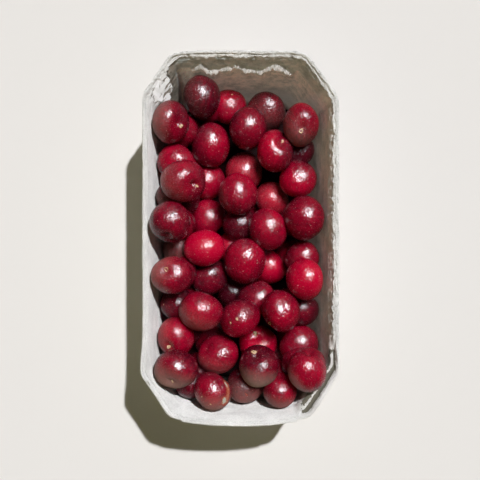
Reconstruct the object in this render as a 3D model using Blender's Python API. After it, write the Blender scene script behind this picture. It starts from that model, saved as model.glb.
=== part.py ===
"""A moulded paper-pulp punnet filled with a heap of stalkless cherries."""
import math
import random

import bpy
import bmesh
from mathutils import Matrix, Vector

MM = 0.001

# Punnet
RIM_LENGTH = 226.0 * MM
RIM_WIDTH = 118.0 * MM
PUNNET_HEIGHT = 70.0 * MM
END_FLARE = 0.243        # how far an end wall leans out for each unit of height
SIDE_FLARE = 0.19
CORNER_FLARE = 0.22
LIP_WIDTH = 2.6 * MM
LIP_DEPTH = 3.4 * MM
LIP_OVERHANG = 1.3 * MM
LEDGE_WIDTH = 1.3 * MM
LEDGE_DROP = 1.2 * MM
WALL_THICKNESS = 2.6 * MM
FOOT_HEIGHT = 2.0 * MM
FOOT_WIDTH = 9.0 * MM
FOOT_ROUND = 5.0 * MM
FLOOR_HEIGHT = 4.6 * MM
FLOOR_ROUND = 13.0 * MM
CORNER_ROUND = 11.0 * MM
LOW_END_BOW = 4.2 * MM
HIGH_END_BOW = 1.0 * MM
LOW_END_SPAN = 36.0 * MM
ARC_STEPS = 3
END_STEPS = 4
# how far each cut corner runs along the end wall and along the side wall
CORNER_CUTS = (
    (1, 1, 19.5 * MM, 27.0 * MM),
    (-1, 1, 17.0 * MM, 25.5 * MM),
    (-1, -1, 17.0 * MM, 27.0 * MM),
    (1, -1, 18.0 * MM, 28.5 * MM),
)

# Heap
CLEARANCE = 0.35 * MM
CHERRY_CLEARANCE = 0.8 * MM
CORE_TOP = 31.5 * MM
CORE_WAVE = 2.2 * MM
CORE_SHARES = (0.88, 0.74, 0.56, 0.36, 0.18)
CORE_DIP = 8.5 * MM     # the heap is lower towards the high end
DIP_START = 68.0 * MM
DIP_LENGTH = 24.0 * MM
PROP_RADIUS = 11.0 * MM
PROP_TOUCH = 0.86
PROPPED = 0.915
PROP_MARGIN = 1.07       # corners of a few-sided prop stand out by about this much
PROP_SIDES = 7
PROP_RINGS = 5
BED_TOP = 20.0 * MM
TOUCH = 0.90             # centres come this near, as a share of the two radii
DROP_STEP = 0.2 * MM
DROP_FROM = 110.0 * MM
CHERRY_SIDES = 11
CHERRY_RINGS = 7
WELD = 0.03 * MM
LOOSE_LIMIT = 30         # larger loose pieces than this are cherries, not scrap

# The heap is entered as it looks from a point straight above the punnet.
EYE_HEIGHT = 493.0 * MM
EYE_STEPS = 704.0        # view steps for a slope of one
EYE_MIDDLE = 240.0
EYE_SHIFT = (-0.1 * MM, -0.9 * MM)

# name, across and down the view, width, length, where the stalk scar shows (or None)
CHERRIES = (
    ("a49", 190, 131, 33, 33, None),
    ("a50", 298, 151, 33, 34, None),
    ("a51", 170, 195, 28, 28, None),
    ("a28", 177, 249, 29, 31, None),
    ("a22", 234, 247, 34, 34, None),
    ("a30", 176, 303, 32, 34, None),
    ("a52", 233, 291, 34, 34, None),
    ("a38", 211, 342, 33, 33, None),
    ("a54", 283, 358, 34, 34, None),
    ("a45", 190, 383, 31, 31, None),
    ("a03", 229, 107, 35, 35, (232, 94)),
    ("a09", 176, 162, 38, 38, None),
    ("a04", 266, 112, 39, 39, None),
    ("a13", 244, 171, 37, 38, None),
    ("a11", 207, 181, 37, 38, None),
    ("a15", 272, 199, 33, 35, None),
    ("a19", 208, 218, 36, 38, None),
    ("a21", 239, 224, 33, 34, None),
    ("a25", 302, 257, 34, 34, None),
    ("a24", 269, 267, 35, 34, None),
    ("a29", 210, 277, 37, 36, None),
    ("a32", 256, 298, 39, 35, None),
    ("a35", 302, 309, 34, 34, None),
    ("a36", 176, 337, 37, 40, (169, 347)),
    ("a39", 258, 343, 39, 35, (255, 334)),
    ("a41", 299, 345, 39, 40, None),
    ("a46", 245, 385, 36, 35, None),
    ("a47", 280, 390, 34, 35, None),
    ("a14", 298, 179, 38, 37, None),
    ("a01", 202, 97, 37, 43, None),
    ("a02", 171, 122, 37, 43, (181, 126)),
    ("a05", 301, 125, 36, 44, (301, 131)),
    ("a06", 248, 128, 38, 44, None),
    ("a07", 275, 151, 36, 43, (282, 142)),
    ("a08", 211, 145, 38, 45, None),
    ("a10", 183, 181, 45, 42, (197, 187)),
    ("a12", 238, 194, 39, 43, None),
    ("a18", 268, 229, 39, 42, None),
    ("a16", 304, 218, 40, 45, None),
    ("a17", 170, 222, 41, 42, (168, 239)),
    ("a20", 204, 248, 42, 37, None),
    ("a23", 245, 261, 42, 46, None),
    ("a26", 305, 279, 38, 43, None),
    ("a27", 172, 275, 42, 38, (166, 269)),
    ("a31", 201, 311, 45, 40, None),
    ("a34", 281, 311, 39, 42, (267, 326)),
    ("a33", 240, 318, 41, 39, None),
    ("a37", 218, 354, 41, 39, (205, 345)),
    ("a40", 259, 366, 40, 42, (254, 352)),
    ("a42", 307, 370, 39, 44, None),
    ("a43", 176, 369, 44, 39, (172, 381)),
    ("a44", 213, 391, 38, 38, None),
)

PULP_COLOUR = (0.66, 0.64, 0.61)
CHERRY_COLOUR = (0.22, 0.004, 0.014)


def clear_scene():
    """Remove every object that is in the scene."""
    for item in list(bpy.data.objects):
        bpy.data.objects.remove(item, do_unlink=True)


def make_material(name, colour, roughness):
    """Plain surface with a colour and a roughness."""
    material = bpy.data.materials.new(name)
    material.use_nodes = True
    shader = material.node_tree.nodes["Principled BSDF"]
    shader.inputs["Base Color"].default_value = (*colour, 1.0)
    shader.inputs["Roughness"].default_value = roughness
    shader.inputs["Metallic"].default_value = 0.0
    material.diffuse_color = (*colour, 1.0)
    return material


def make_collection(name):
    """New collection in the scene."""
    collection = bpy.data.collections.new(name)
    bpy.context.scene.collection.children.link(collection)
    return collection


def add_object(name, shape, collection, material):
    """Turn a bmesh into an object with one material."""
    mesh = bpy.data.meshes.new(name)
    bmesh.ops.recalc_face_normals(shape, faces=shape.faces[:])
    shape.to_mesh(mesh)
    shape.free()
    mesh.materials.append(material)
    item = bpy.data.objects.new(name, mesh)
    collection.objects.link(item)
    return item


def wall_planes(inset, height):
    """Sides of the outline, anticlockwise, as outward normal, offset and flare."""
    drop = PUNNET_HEIGHT - height
    half_width = RIM_WIDTH / 2
    high_end = RIM_LENGTH / 2 - HIGH_END_BOW
    low_end = RIM_LENGTH / 2 - LOW_END_BOW
    plain = {
        "right": (1.0, 0.0, half_width, SIDE_FLARE),
        "high": (0.0, 1.0, high_end, END_FLARE),
        "left": (-1.0, 0.0, half_width, SIDE_FLARE),
        "low": (0.0, -1.0, low_end, END_FLARE),
    }
    cuts = []
    for side, end, along_end, along_side in CORNER_CUTS:
        reach = high_end if end > 0 else low_end
        size = math.hypot(along_end, along_side)
        across = side * along_side / size
        down = end * along_end / size
        offset = across * side * half_width + down * end * (reach - along_side)
        cuts.append((across, down, offset, CORNER_FLARE))
    ordered = (plain["right"], cuts[0], plain["high"], cuts[1],
               plain["left"], cuts[2], plain["low"], cuts[3])
    return [(across, down, offset - inset - flare * drop, flare)
            for across, down, offset, flare in ordered]


def crossing(first, second):
    """Where two sides of the outline meet."""
    turn = first[0] * second[1] - first[1] * second[0]
    return Vector(((first[2] * second[1] - second[2] * first[1]) / turn,
                   (first[0] * second[2] - second[0] * first[2]) / turn))


def end_bow(x, half_span, height, size):
    """How far an end wall swells outward at a point along it."""
    share = max(0.0, 1.0 - (x / half_span) ** 2)
    return size * share * (0.4 + 0.6 * height / PUNNET_HEIGHT)


def corner_sides(planes, inset):
    """Tangent sides at the middles of the eight rounded corners."""
    sides = []
    radius = max(CORNER_ROUND - inset, 2 * MM)
    for i in range(8):
        first = planes[i]
        second = planes[(i + 1) % 8]
        corner = crossing(first, second)
        middle = Vector((first[0] + second[0], first[1] + second[1]))
        half_turn = math.acos(min(1.0, middle.length / 2))
        middle.normalize()
        offset = corner.dot(middle) - radius * (1.0 / math.cos(half_turn) - 1.0)
        sides.append((middle.x, middle.y, offset, (first[3] + second[3]) / 2))
    return sides


def outline(inset, height):
    """Ring of points: an oblong with cut, rounded corners and slightly bowed ends."""
    planes = wall_planes(inset, height)
    corners = [crossing(planes[i], planes[(i + 1) % 8]) for i in range(8)]
    ring = []
    for i in range(8):
        first = planes[i]
        second = planes[(i + 1) % 8]
        start = math.atan2(first[1], first[0])
        turn = (math.atan2(second[1], second[0]) - start) % math.tau
        radius = max(CORNER_ROUND - inset, 2 * MM)
        reach = radius / math.cos(turn / 2)
        middle = start + turn / 2
        centre = corners[i] - reach * Vector((math.cos(middle), math.sin(middle)))
        for step in range(ARC_STEPS + 1):
            angle = start + turn * step / ARC_STEPS
            ring.append(centre + radius * Vector((math.cos(angle), math.sin(angle))))
        if i in (1, 5):
            following = planes[(i + 2) % 8]
            onward = (math.atan2(following[1], following[0])
                      - math.atan2(second[1], second[0])) % math.tau
            far_corner = corners[(i + 1) % 8]
            tangent = radius * math.tan(onward / 2) * math.copysign(1.0, far_corner.x)
            far = Vector((far_corner.x - tangent, far_corner.y))
            near = ring[-1].copy()
            for step in range(1, END_STEPS):
                ring.append(near.lerp(far, step / END_STEPS))
    half_span = max(abs(corners[1].x), abs(corners[5].x))
    points = []
    for point in ring:
        bow = 0.0
        if abs(point.x) < half_span and abs(point.y) > RIM_LENGTH / 4:
            size = HIGH_END_BOW if point.y > 0 else -LOW_END_BOW
            bow = end_bow(point.x, half_span, height, size)
        points.append(Vector((point.x, point.y + bow, height)))
    return points


def loft(rings, bottom_height, top_height):
    """Closed skin through rings of points, with a fan over each end."""
    shape = bmesh.new()
    rows = [[shape.verts.new(point) for point in ring] for ring in rings]
    count = len(rings[0])
    for lower, upper in zip(rows, rows[1:]):
        for i in range(count):
            j = (i + 1) % count
            shape.faces.new((lower[i], lower[j], upper[j], upper[i]))
    for row, height in ((rows[0], bottom_height), (rows[-1], top_height)):
        hub = shape.verts.new((0.0, 0.0, height))
        for i in range(count):
            shape.faces.new((row[i], row[(i + 1) % count], hub))
    return shape


def wall_inset():
    """How far the inner wall lies inside the edge of the lip."""
    return LIP_OVERHANG + WALL_THICKNESS


def punnet_rings():
    """Section of the punnet, from the middle of its underside round to its floor."""
    top = PUNNET_HEIGHT
    under_lip = top - LIP_DEPTH
    foot = LIP_OVERHANG + FOOT_ROUND
    inner = wall_inset()
    section = (
        (foot + FOOT_WIDTH + 3 * MM, FOOT_HEIGHT),
        (foot + FOOT_WIDTH, 0.0),
        (foot, 0.0),
        (LIP_OVERHANG + 0.42 * FOOT_ROUND, 0.22 * FOOT_ROUND),
        (LIP_OVERHANG + 0.08 * FOOT_ROUND, 0.62 * FOOT_ROUND),
        (LIP_OVERHANG, 1.3 * FOOT_ROUND),
        (LIP_OVERHANG, under_lip - 0.7 * MM),
        (0.15 * LIP_OVERHANG, under_lip),
        (0.0, under_lip + 0.8 * MM),
        (0.0, top - 0.9 * MM),
        (0.6 * MM, top),
        (LIP_WIDTH - 0.5 * MM, top),
        (LIP_WIDTH, top - 0.6 * MM),
        (LIP_WIDTH + 0.1 * MM, top - LEDGE_DROP),
        (LIP_WIDTH + LEDGE_WIDTH - 0.2 * MM, top - LEDGE_DROP - 0.1 * MM),
        (inner, top - LEDGE_DROP - 0.9 * MM),
        (inner, FLOOR_HEIGHT + 1.15 * FLOOR_ROUND),
        (inner + 0.10 * FLOOR_ROUND, FLOOR_HEIGHT + 0.6 * FLOOR_ROUND),
        (inner + 0.34 * FLOOR_ROUND, FLOOR_HEIGHT + 0.24 * FLOOR_ROUND),
        (inner + FLOOR_ROUND, FLOOR_HEIGHT),
    )
    return [outline(inset, height) for inset, height in section]


def make_punnet(collection, material):
    """The moulded pulp tray with its lip, ledge and raised underside."""
    shape = loft(punnet_rings(), FOOT_HEIGHT, FLOOR_HEIGHT)
    return add_object("punnet", shape, collection, material)


def core_height(x, y):
    """Top of the core: gently uneven, and lower towards the high end."""
    share = min(1.0, max(0.0, (y - DIP_START) / DIP_LENGTH))
    dip = CORE_DIP * share * share * (3.0 - 2.0 * share)
    return CORE_TOP - dip + CORE_WAVE * math.sin(x * 190.0) * math.cos(y * 150.0)


def core_rings():
    """Inside of the punnet up to the height of the heap's core."""
    inner = wall_inset() + CLEARANCE
    floor = FLOOR_HEIGHT + CLEARANCE
    section = (
        (inner + FLOOR_ROUND + 0.5 * MM, floor),
        (inner + 0.36 * FLOOR_ROUND, floor + 0.25 * FLOOR_ROUND),
        (inner + 0.12 * FLOOR_ROUND, floor + 0.62 * FLOOR_ROUND),
        (inner, floor + 1.16 * FLOOR_ROUND),
        (inner, CORE_TOP - 3.0 * MM),
        (inner + 3.0 * MM, CORE_TOP),
    )
    rings = [outline(inset, height) for inset, height in section]
    edge = rings[-1]
    for share in CORE_SHARES:
        rings.append([Vector((point.x * share, point.y * share, point.z)) for point in edge])
    for ring in rings[4:]:
        for point in ring:
            rise = core_height(point.x, point.y) - CORE_TOP
            point.z += rise
            point.x -= math.copysign(END_FLARE * max(-rise, 0.0), point.x)
            point.y -= math.copysign(END_FLARE * max(-rise, 0.0), point.y)
    return rings


def make_core(collection, material):
    """Body of the heap below the cherries that show."""
    shape = loft(core_rings(), FLOOR_HEIGHT + CLEARANCE, CORE_TOP)
    return add_object("cherry_heap", shape, collection, material)


def eye_point(across, down, height):
    """Point at a height that is seen at a place in the view from above."""
    scale = (EYE_HEIGHT - height) / EYE_STEPS
    return Vector((EYE_SHIFT[0] + (across - EYE_MIDDLE) * scale,
                   EYE_SHIFT[1] + (EYE_MIDDLE - down) * scale, height))


def reach_along(half, direction):
    """Distance from the middle of an egg shape to its skin."""
    total = sum((direction[i] / half[i]) ** 2 for i in range(3))
    return 1.0 / math.sqrt(total)


def meets_wall(centre, half):
    """Whether an egg shape comes too near the inner wall."""
    height = min(centre.z, PUNNET_HEIGHT)
    inset = wall_inset() + CHERRY_CLEARANCE
    planes = wall_planes(inset, height)
    for across, down, offset, flare in planes + corner_sides(planes, inset):
        if down < -0.999:
            offset += end_bow(centre.x, LOW_END_SPAN, height, LOW_END_BOW)
        normal = Vector((across, down, -flare))
        size = normal.length
        normal /= size
        gap = (offset - across * centre.x - down * centre.y) / size
        support = math.sqrt(sum((normal[i] * half[i]) ** 2 for i in range(3)))
        if gap < support:
            return True
    return False


def meets_cherry(centre, half, others):
    """Whether an egg shape rests on one that is already in the heap."""
    for other_centre, other_half in others:
        between = centre - other_centre
        distance = between.length
        direction = between / distance
        reach = reach_along(half, direction) + reach_along(other_half, direction)
        if distance < TOUCH * reach:
            return True
    return False


def settle(across, down, width, length, others):
    """Lower a cherry along its line of sight until it rests on something."""
    height = DROP_FROM
    centre = None
    half = None
    while True:
        scale = (EYE_HEIGHT - height) / EYE_STEPS
        new_half = Vector((width / 2 * scale, length / 2 * scale,
                           0.96 * (width + length) / 4 * scale))
        new_centre = eye_point(across, down, height)
        if new_centre.z - new_half.z < BED_TOP:
            break
        if meets_wall(new_centre, new_half) or meets_cherry(new_centre, new_half, others):
            break
        centre = new_centre
        half = new_half
        height -= DROP_STEP
    return centre, half


def place_cherries():
    """Middle, half sizes and stalk direction of each cherry that shows."""
    chance = random.Random(7)
    placed = []
    stalks = []
    for name, across, down, width, length, scar in CHERRIES:
        placed.append(settle(across, down, width, length, placed))
        if scar:
            side = Vector(((scar[0] - across) / (width / 2), (down - scar[1]) / (length / 2)))
            side *= min(1.0, 0.97 / max(side.length, 0.01))
            lift = math.sqrt(max(0.0, 1.0 - side.length_squared))
            stalks.append(Vector((side.x, side.y, lift)).normalized())
        else:
            angle = chance.uniform(0.0, math.tau)
            stalks.append(Vector((math.cos(angle), math.sin(angle), -0.35)).normalized())
    return placed, stalks


def is_propped(centre, half, others):
    """Whether a cherry already sits well into the core or on a lower cherry."""
    if centre.z - half.z < core_height(centre.x, centre.y) - 0.8 * MM:
        return True
    for other_centre, other_half in others:
        between = other_centre - centre
        distance = between.length
        if distance < 1 * MM or between.z > -3 * MM:
            continue
        direction = between / distance
        reach = reach_along(half, direction) + reach_along(other_half, direction)
        if distance < PROPPED * reach:
            return True
    return False


def prop_up(placed):
    """Hidden cherries under those that would otherwise hang at the wall."""
    props = []
    waiting = sorted(placed, key=lambda pair: -pair[0].z)
    while waiting:
        centre, half = waiting.pop(0)
        if is_propped(centre, half, placed + props):
            continue
        size = Vector((PROP_RADIUS, PROP_RADIUS, PROP_RADIUS))
        away = (centre - Vector((*EYE_SHIFT, EYE_HEIGHT))).normalized()
        spot = centre + away * PROP_TOUCH * (half.z + PROP_RADIUS)
        inward = Vector((-spot.x, -spot.y * RIM_WIDTH / RIM_LENGTH, 0.0)).normalized()
        while meets_wall(spot, size * PROP_MARGIN):
            spot = spot + inward * 0.5 * MM
        props.append((spot, size))
        waiting.append((spot, size))
    return props


def cherry_profile(rings):
    """Radius and height round a cherry of radius one, from stalk end to tip."""
    profile = []
    for step in range(1, rings):
        angle = math.pi * step / rings
        radius = math.sin(angle)
        height = math.cos(angle) - 0.24 * math.exp(-(angle / 0.5) ** 2)
        profile.append((radius, height))
    return profile


def cherry_shape(sides, rings):
    """Few-sided cherry of radius one, stalk dimple upward."""
    shape = bmesh.new()
    rows = []
    for row, (radius, height) in enumerate(cherry_profile(rings)):
        shift = math.pi / sides * (row % 2)
        points = []
        for side in range(sides):
            angle = math.tau * side / sides + shift
            points.append(shape.verts.new((radius * math.cos(angle),
                                           radius * math.sin(angle), height)))
        rows.append(points)
    for row in range(len(rows) - 1):
        upper = rows[row]
        lower = rows[row + 1]
        for i in range(sides):
            j = (i + 1) % sides
            if row % 2:
                shape.faces.new((upper[i], lower[i], lower[j]))
                shape.faces.new((upper[i], lower[j], upper[j]))
            else:
                shape.faces.new((upper[i], lower[i], upper[j]))
                shape.faces.new((lower[i], lower[j], upper[j]))
    for row, height in ((rows[0], 0.72), (rows[-1], -1.0)):
        hub = shape.verts.new((0.0, 0.0, height))
        for i in range(sides):
            shape.faces.new((row[i], row[(i + 1) % sides], hub))
    return shape


def place_cherry(name, shape, centre, half, stalk, collection, material):
    """Turn a cherry to its stalk direction, size it and set it in the heap."""
    turn = Vector((0.0, 0.0, 1.0)).rotation_difference(stalk).to_matrix().to_4x4()
    bmesh.ops.transform(shape, matrix=turn, verts=shape.verts[:])
    for i in range(3):
        low = min(vert.co[i] for vert in shape.verts)
        high = max(vert.co[i] for vert in shape.verts)
        for vert in shape.verts:
            vert.co[i] = (2 * vert.co[i] - low - high) / (high - low) * half[i]
    bmesh.ops.transform(shape, matrix=Matrix.Translation(centre), verts=shape.verts[:])
    return add_object(name, shape, collection, material)


def keep_outer_skin(item):
    """Keep the largest closed skin, so sealed hollows are solid and loose scrap is gone."""
    shape = bmesh.new()
    shape.from_mesh(item.data)
    left = set(shape.verts)
    skins = []
    while left:
        stack = [left.pop()]
        skin = []
        while stack:
            vert = stack.pop()
            skin.append(vert)
            for edge in vert.link_edges:
                other = edge.other_vert(vert)
                if other in left:
                    left.remove(other)
                    stack.append(other)
        skins.append(skin)
    skins.sort(key=len)
    for skin in skins[:-1]:
        if len(skin) > LOOSE_LIMIT:
            raise RuntimeError(f"a piece with {len(skin)} points isn't joined to the heap")
        bmesh.ops.delete(shape, geom=skin, context="VERTS")
    bmesh.ops.remove_doubles(shape, verts=shape.verts[:], dist=WELD)
    bmesh.ops.dissolve_degenerate(shape, edges=shape.edges[:], dist=WELD)
    spare = [vert for vert in shape.verts if len(vert.link_edges) == 2]
    bmesh.ops.dissolve_verts(shape, verts=spare)
    bmesh.ops.triangulate(shape, faces=shape.faces[:])
    shape.to_mesh(item.data)
    shape.free()


def fuse(item, pieces):
    """Join a collection of pieces to an object as one solid."""
    union = item.modifiers.new("fuse", "BOOLEAN")
    union.operation = "UNION"
    union.operand_type = "COLLECTION"
    union.collection = pieces
    union.solver = "MANIFOLD"
    graph = bpy.context.evaluated_depsgraph_get()
    solid = bpy.data.meshes.new_from_object(item.evaluated_get(graph))
    item.modifiers.remove(union)
    item.data = solid
    for piece in list(pieces.objects):
        bpy.data.objects.remove(piece, do_unlink=True)
    bpy.data.collections.remove(pieces)
    keep_outer_skin(item)


def make_heap(collection, material):
    """The heap of cherries, fused over its core."""
    heap = make_core(collection, material)
    pieces = make_collection("loose_cherries")
    placed, stalks = place_cherries()
    for entry, (centre, half), stalk in zip(CHERRIES, placed, stalks):
        shape = cherry_shape(CHERRY_SIDES, CHERRY_RINGS)
        place_cherry(entry[0], shape, centre, half, stalk, pieces, material)
    for i, (centre, half) in enumerate(prop_up(placed)):
        shape = cherry_shape(PROP_SIDES, PROP_RINGS)
        place_cherry(f"prop{i:02d}", shape, centre, half, Vector((0, 0, -1)), pieces, material)
    fuse(heap, pieces)
    return heap


def main():
    """Build the punnet and its heap."""
    clear_scene()
    collection = make_collection("punnet_of_cherries")
    pulp = make_material("pulp", PULP_COLOUR, 0.95)
    skin = make_material("cherry_skin", CHERRY_COLOUR, 0.25)
    make_punnet(collection, pulp)
    make_heap(collection, skin)


main()
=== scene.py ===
import math
import random

import bpy
import numpy as np
from bpy.props import FloatProperty, FloatVectorProperty, IntProperty, PointerProperty
from bpy.types import Operator, Panel, PropertyGroup
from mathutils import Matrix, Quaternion, Vector, noise
from mathutils.bvhtree import BVHTree


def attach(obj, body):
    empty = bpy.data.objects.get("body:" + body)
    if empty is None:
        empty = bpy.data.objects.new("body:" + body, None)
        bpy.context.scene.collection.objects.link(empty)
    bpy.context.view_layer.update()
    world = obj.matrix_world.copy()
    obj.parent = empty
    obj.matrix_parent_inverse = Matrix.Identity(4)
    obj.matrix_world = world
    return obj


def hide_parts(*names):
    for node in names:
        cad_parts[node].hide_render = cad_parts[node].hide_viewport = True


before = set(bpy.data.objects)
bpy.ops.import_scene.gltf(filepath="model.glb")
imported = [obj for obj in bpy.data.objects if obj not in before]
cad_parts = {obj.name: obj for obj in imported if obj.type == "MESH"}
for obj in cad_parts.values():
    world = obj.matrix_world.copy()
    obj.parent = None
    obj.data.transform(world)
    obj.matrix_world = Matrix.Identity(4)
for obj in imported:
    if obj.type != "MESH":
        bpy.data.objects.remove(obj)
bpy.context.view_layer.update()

bl_info = {
    "name": "Punnet of cherries",
    "version": (1, 0, 0),
    "blender": (4, 5, 0),
    "location": "View3D > Sidebar > Punnet",
    "description": "A moulded pulp punnet filled with loose cherries",
    "category": "Add Mesh",
}

MM = 0.001

# Punnet, as the solid has it
RIM_LENGTH = 226.0 * MM
RIM_WIDTH = 118.0 * MM
PUNNET_HEIGHT = 70.0 * MM
END_FLARE = 0.243
SIDE_FLARE = 0.19
CORNER_FLARE = 0.22
LIP_DEPTH = 3.4 * MM
LIP_OVERHANG = 1.3 * MM
WALL_THICKNESS = 2.6 * MM
FOOT_HEIGHT = 2.0 * MM
FOOT_WIDTH = 9.0 * MM
FOOT_ROUND = 5.0 * MM
FLOOR_HEIGHT = 4.6 * MM
FLOOR_ROUND = 13.0 * MM
CORNER_ROUND = 11.0 * MM
LOW_END_BOW = 4.2 * MM
HIGH_END_BOW = 1.0 * MM
LOW_END_SPAN = 36.0 * MM
# cut corners, anticlockwise: side, end, and how much is cut from the end and from the side
CORNER_CUTS = (
    (1, 1, 19.5 * MM, 27.0 * MM),
    (-1, 1, 17.0 * MM, 25.5 * MM),
    (-1, -1, 17.0 * MM, 27.0 * MM),
    (1, -1, 18.0 * MM, 28.5 * MM),
)

# Finer form of the punnet
ARC_STEPS = 8
EDGE_STEPS = (230, 66, 164, 66, 76, 34, 66, 60)   # right, cut, high end, cut, left, ...
LEAST_ROUND = 2.0 * MM
# places where the rim was pulled out of the mould, in millimetres: across, along, size, reach
PULLS = ((-59, -80, 1.1, 12.0), (59, -78, 0.8, 12.0), (-59, 88, 0.3, 12.0), (52, -100, 1.4, 14.0))
SHELF_ENDS = (-29.0 * MM, 32.5 * MM)
KEY_FALL = 0.517             # how far along the punnet the key's shadow runs per unit of drop
PATCH_DIRECTION = (0.58, 0.82)

# Heap, as the solid has it
CHERRY_CLEARANCE = 0.8 * MM
CORE_TOP = 31.5 * MM
CORE_WAVE = 2.2 * MM
CORE_DIP = 8.5 * MM
DIP_START = 68.0 * MM
DIP_END = 92.0 * MM
BED_TOP = 20.0 * MM
TOUCH = 0.90
DROP_STEP = 0.2 * MM
DROP_FROM = 110.0 * MM
PROP_RADIUS = 11.0 * MM
PROP_TOUCH = 0.86
PROPPED = 0.915
PROP_MARGIN = 1.07
DEPTH = 0.96                        # height of a lying cherry over its mean width
FLATNESS = 0.93                     # length of a cherry from stalk to tip over its width
BELOW_FORM = (16, 24, 0.4, 0.16)    # rings, sides, shoulder and hollow of one below the others
CORE_LUMP = 2.4 * MM
CORE_LUMP_PITCH = 270.0
# cherries below those that show, in millimetres: heights, and start, end and step of the rows
FILL_LEVELS = (16.5, 27.0, 37.5, 47.0)
FILL_ALONG = (-94.0, 96.0, 19.0)
FILL_ACROSS = (-42.0, 44.0, 21.5)
FILL_STAGGER = 10.5
FILL_SLACK = (1.5, 1.5, 1.0)
FILL_RADIUS = (10.6, 12.2)
HIDDEN_BELOW = 30.0                 # a lower cherry can't stand in front of one that shows
TOUCH_SHOWN = 0.88
TOUCH_BELOW = 0.86

# The cherries are placed as they look from a point straight above the punnet.
EYE_HEIGHT = 493.0 * MM
EYE_STEPS = 704.0
EYE_MIDDLE = 240.0
EYE_SHIFT = (-0.1 * MM, -0.9 * MM)
EYE = Vector((*EYE_SHIFT, EYE_HEIGHT))

# Stage
FLOOR_SIZE = 3.0
FLOOR_LEVEL = -0.05 * MM
SENSOR = 36.0
KEY_COLOUR = (1.0, 1.0, 1.045)
SHINE_COLOUR = (0.86, 1.0, 1.04)
SHINE_EDGE = 2.1                    # size of the highlights' soft edge
FILL_COLOUR = (1.0, 0.88, 0.78)
FILL_SIDE = Vector((-0.35, -0.77, 0.62))
FILL_SIZE = math.radians(60.0)
SOFT_SIDE = (-0.42, -0.72, -0.35)   # side of the soft light; its height gives the spread
BACKDROP = (0.78, 0.765, 0.735)
GLOSSY_SKY = 0.03                   # share of the soft light that gloss shows

# name, across and down the view, width, length, and ripeness from 0 dark to 1 bright
CHERRIES = (
    ("a49", 190, 131, 33, 33, 0.05), ("a50", 298, 151, 33, 34, -0.15), ("a51", 170, 195, 28, 28, 0.15),
    ("a28", 177, 249, 29, 31, 0.2), ("a22", 234, 247, 34, 34, 0.96), ("a30", 176, 303, 32, 34, 0.12),
    ("a52", 233, 291, 34, 34, -0.1), ("a38", 211, 342, 33, 33, 0.42), ("a54", 283, 358, 34, 34, 0.1),
    ("a45", 190, 383, 31, 31, 0.1), ("a03", 229, 107, 35, 35, 0.75), ("a09", 176, 162, 38, 38, 0.6),
    ("a04", 266, 112, 39, 39, 0.16), ("a13", 244, 171, 37, 38, 0.7), ("a11", 207, 181, 37, 38, 0.62),
    ("a15", 272, 199, 33, 35, 0.84), ("a19", 208, 218, 36, 38, 0.62), ("a21", 239, 224, 33, 34, 0.05),
    ("a25", 302, 257, 34, 34, 0.45), ("a24", 269, 267, 35, 34, 1.12), ("a29", 210, 277, 37, 36, 0.18),
    ("a32", 256, 298, 39, 35, 0.4), ("a35", 302, 309, 34, 34, 0.06), ("a36", 176, 337, 37, 40, 0.66),
    ("a39", 258, 343, 39, 35, 1.0), ("a41", 299, 345, 39, 40, 0.41), ("a46", 245, 385, 36, 35, 0.2),
    ("a47", 280, 390, 34, 35, 0.5), ("a14", 298, 179, 38, 37, 0.69), ("a01", 202, 97, 37, 43, 0.1),
    ("a02", 171, 122, 37, 43, 0.35), ("a05", 301, 125, 36, 44, 0.4), ("a06", 248, 128, 38, 44, 0.34),
    ("a07", 275, 151, 36, 43, 0.58), ("a08", 211, 145, 38, 45, 0.48), ("a10", 183, 181, 45, 42, 0.47),
    ("a12", 238, 194, 39, 43, 0.49), ("a18", 268, 229, 39, 42, 0.52), ("a16", 304, 218, 40, 45, 0.38),
    ("a17", 170, 222, 41, 42, 0.27), ("a20", 204, 248, 42, 37, 1.32), ("a23", 245, 261, 42, 46, 0.53),
    ("a26", 305, 279, 38, 43, 0.94), ("a27", 172, 275, 42, 38, 0.46), ("a31", 201, 311, 45, 40, 0.56),
    ("a34", 281, 311, 39, 42, 0.52), ("a33", 240, 318, 41, 39, 0.45), ("a37", 218, 354, 41, 39, 0.57),
    ("a40", 259, 366, 40, 42, 0.2), ("a42", 307, 370, 39, 44, 0.55), ("a43", 176, 369, 44, 39, 0.32),
    ("a44", 213, 391, 38, 38, 0.52),
)
# stalk scar (or None), how far the shoulders stand out, and depth of the stalk hollow
STALK_ENDS = {
    "a03": ((232, 94), 0.4, 0.06), "a36": ((169, 347), 0.5, 0.2), "a39": ((255, 334), 1.0, 0.2),
    "a47": ((280, 374), 0.8, 0.1), "a02": ((181, 126), 0.8, 0.16), "a05": ((301, 131), 0.5, 0.14),
    "a07": ((282, 142), 1.0, 0.24), "a10": ((197, 187), 0.9, 0.2), "a17": ((168, 239), 0.6, 0.22),
    "a27": ((166, 269), 0.5, 0.14), "a34": ((267, 326), 0.6, 0.18), "a37": ((205, 345), 0.8, 0.16),
    "a40": ((254, 352), 0.5, 0.12), "a42": ((309, 350), 1.0, 0.2), "a43": ((172, 381), 0.8, 0.14),
}
PLAIN_STALK_END = (None, 0.3, 0.16)
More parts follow.
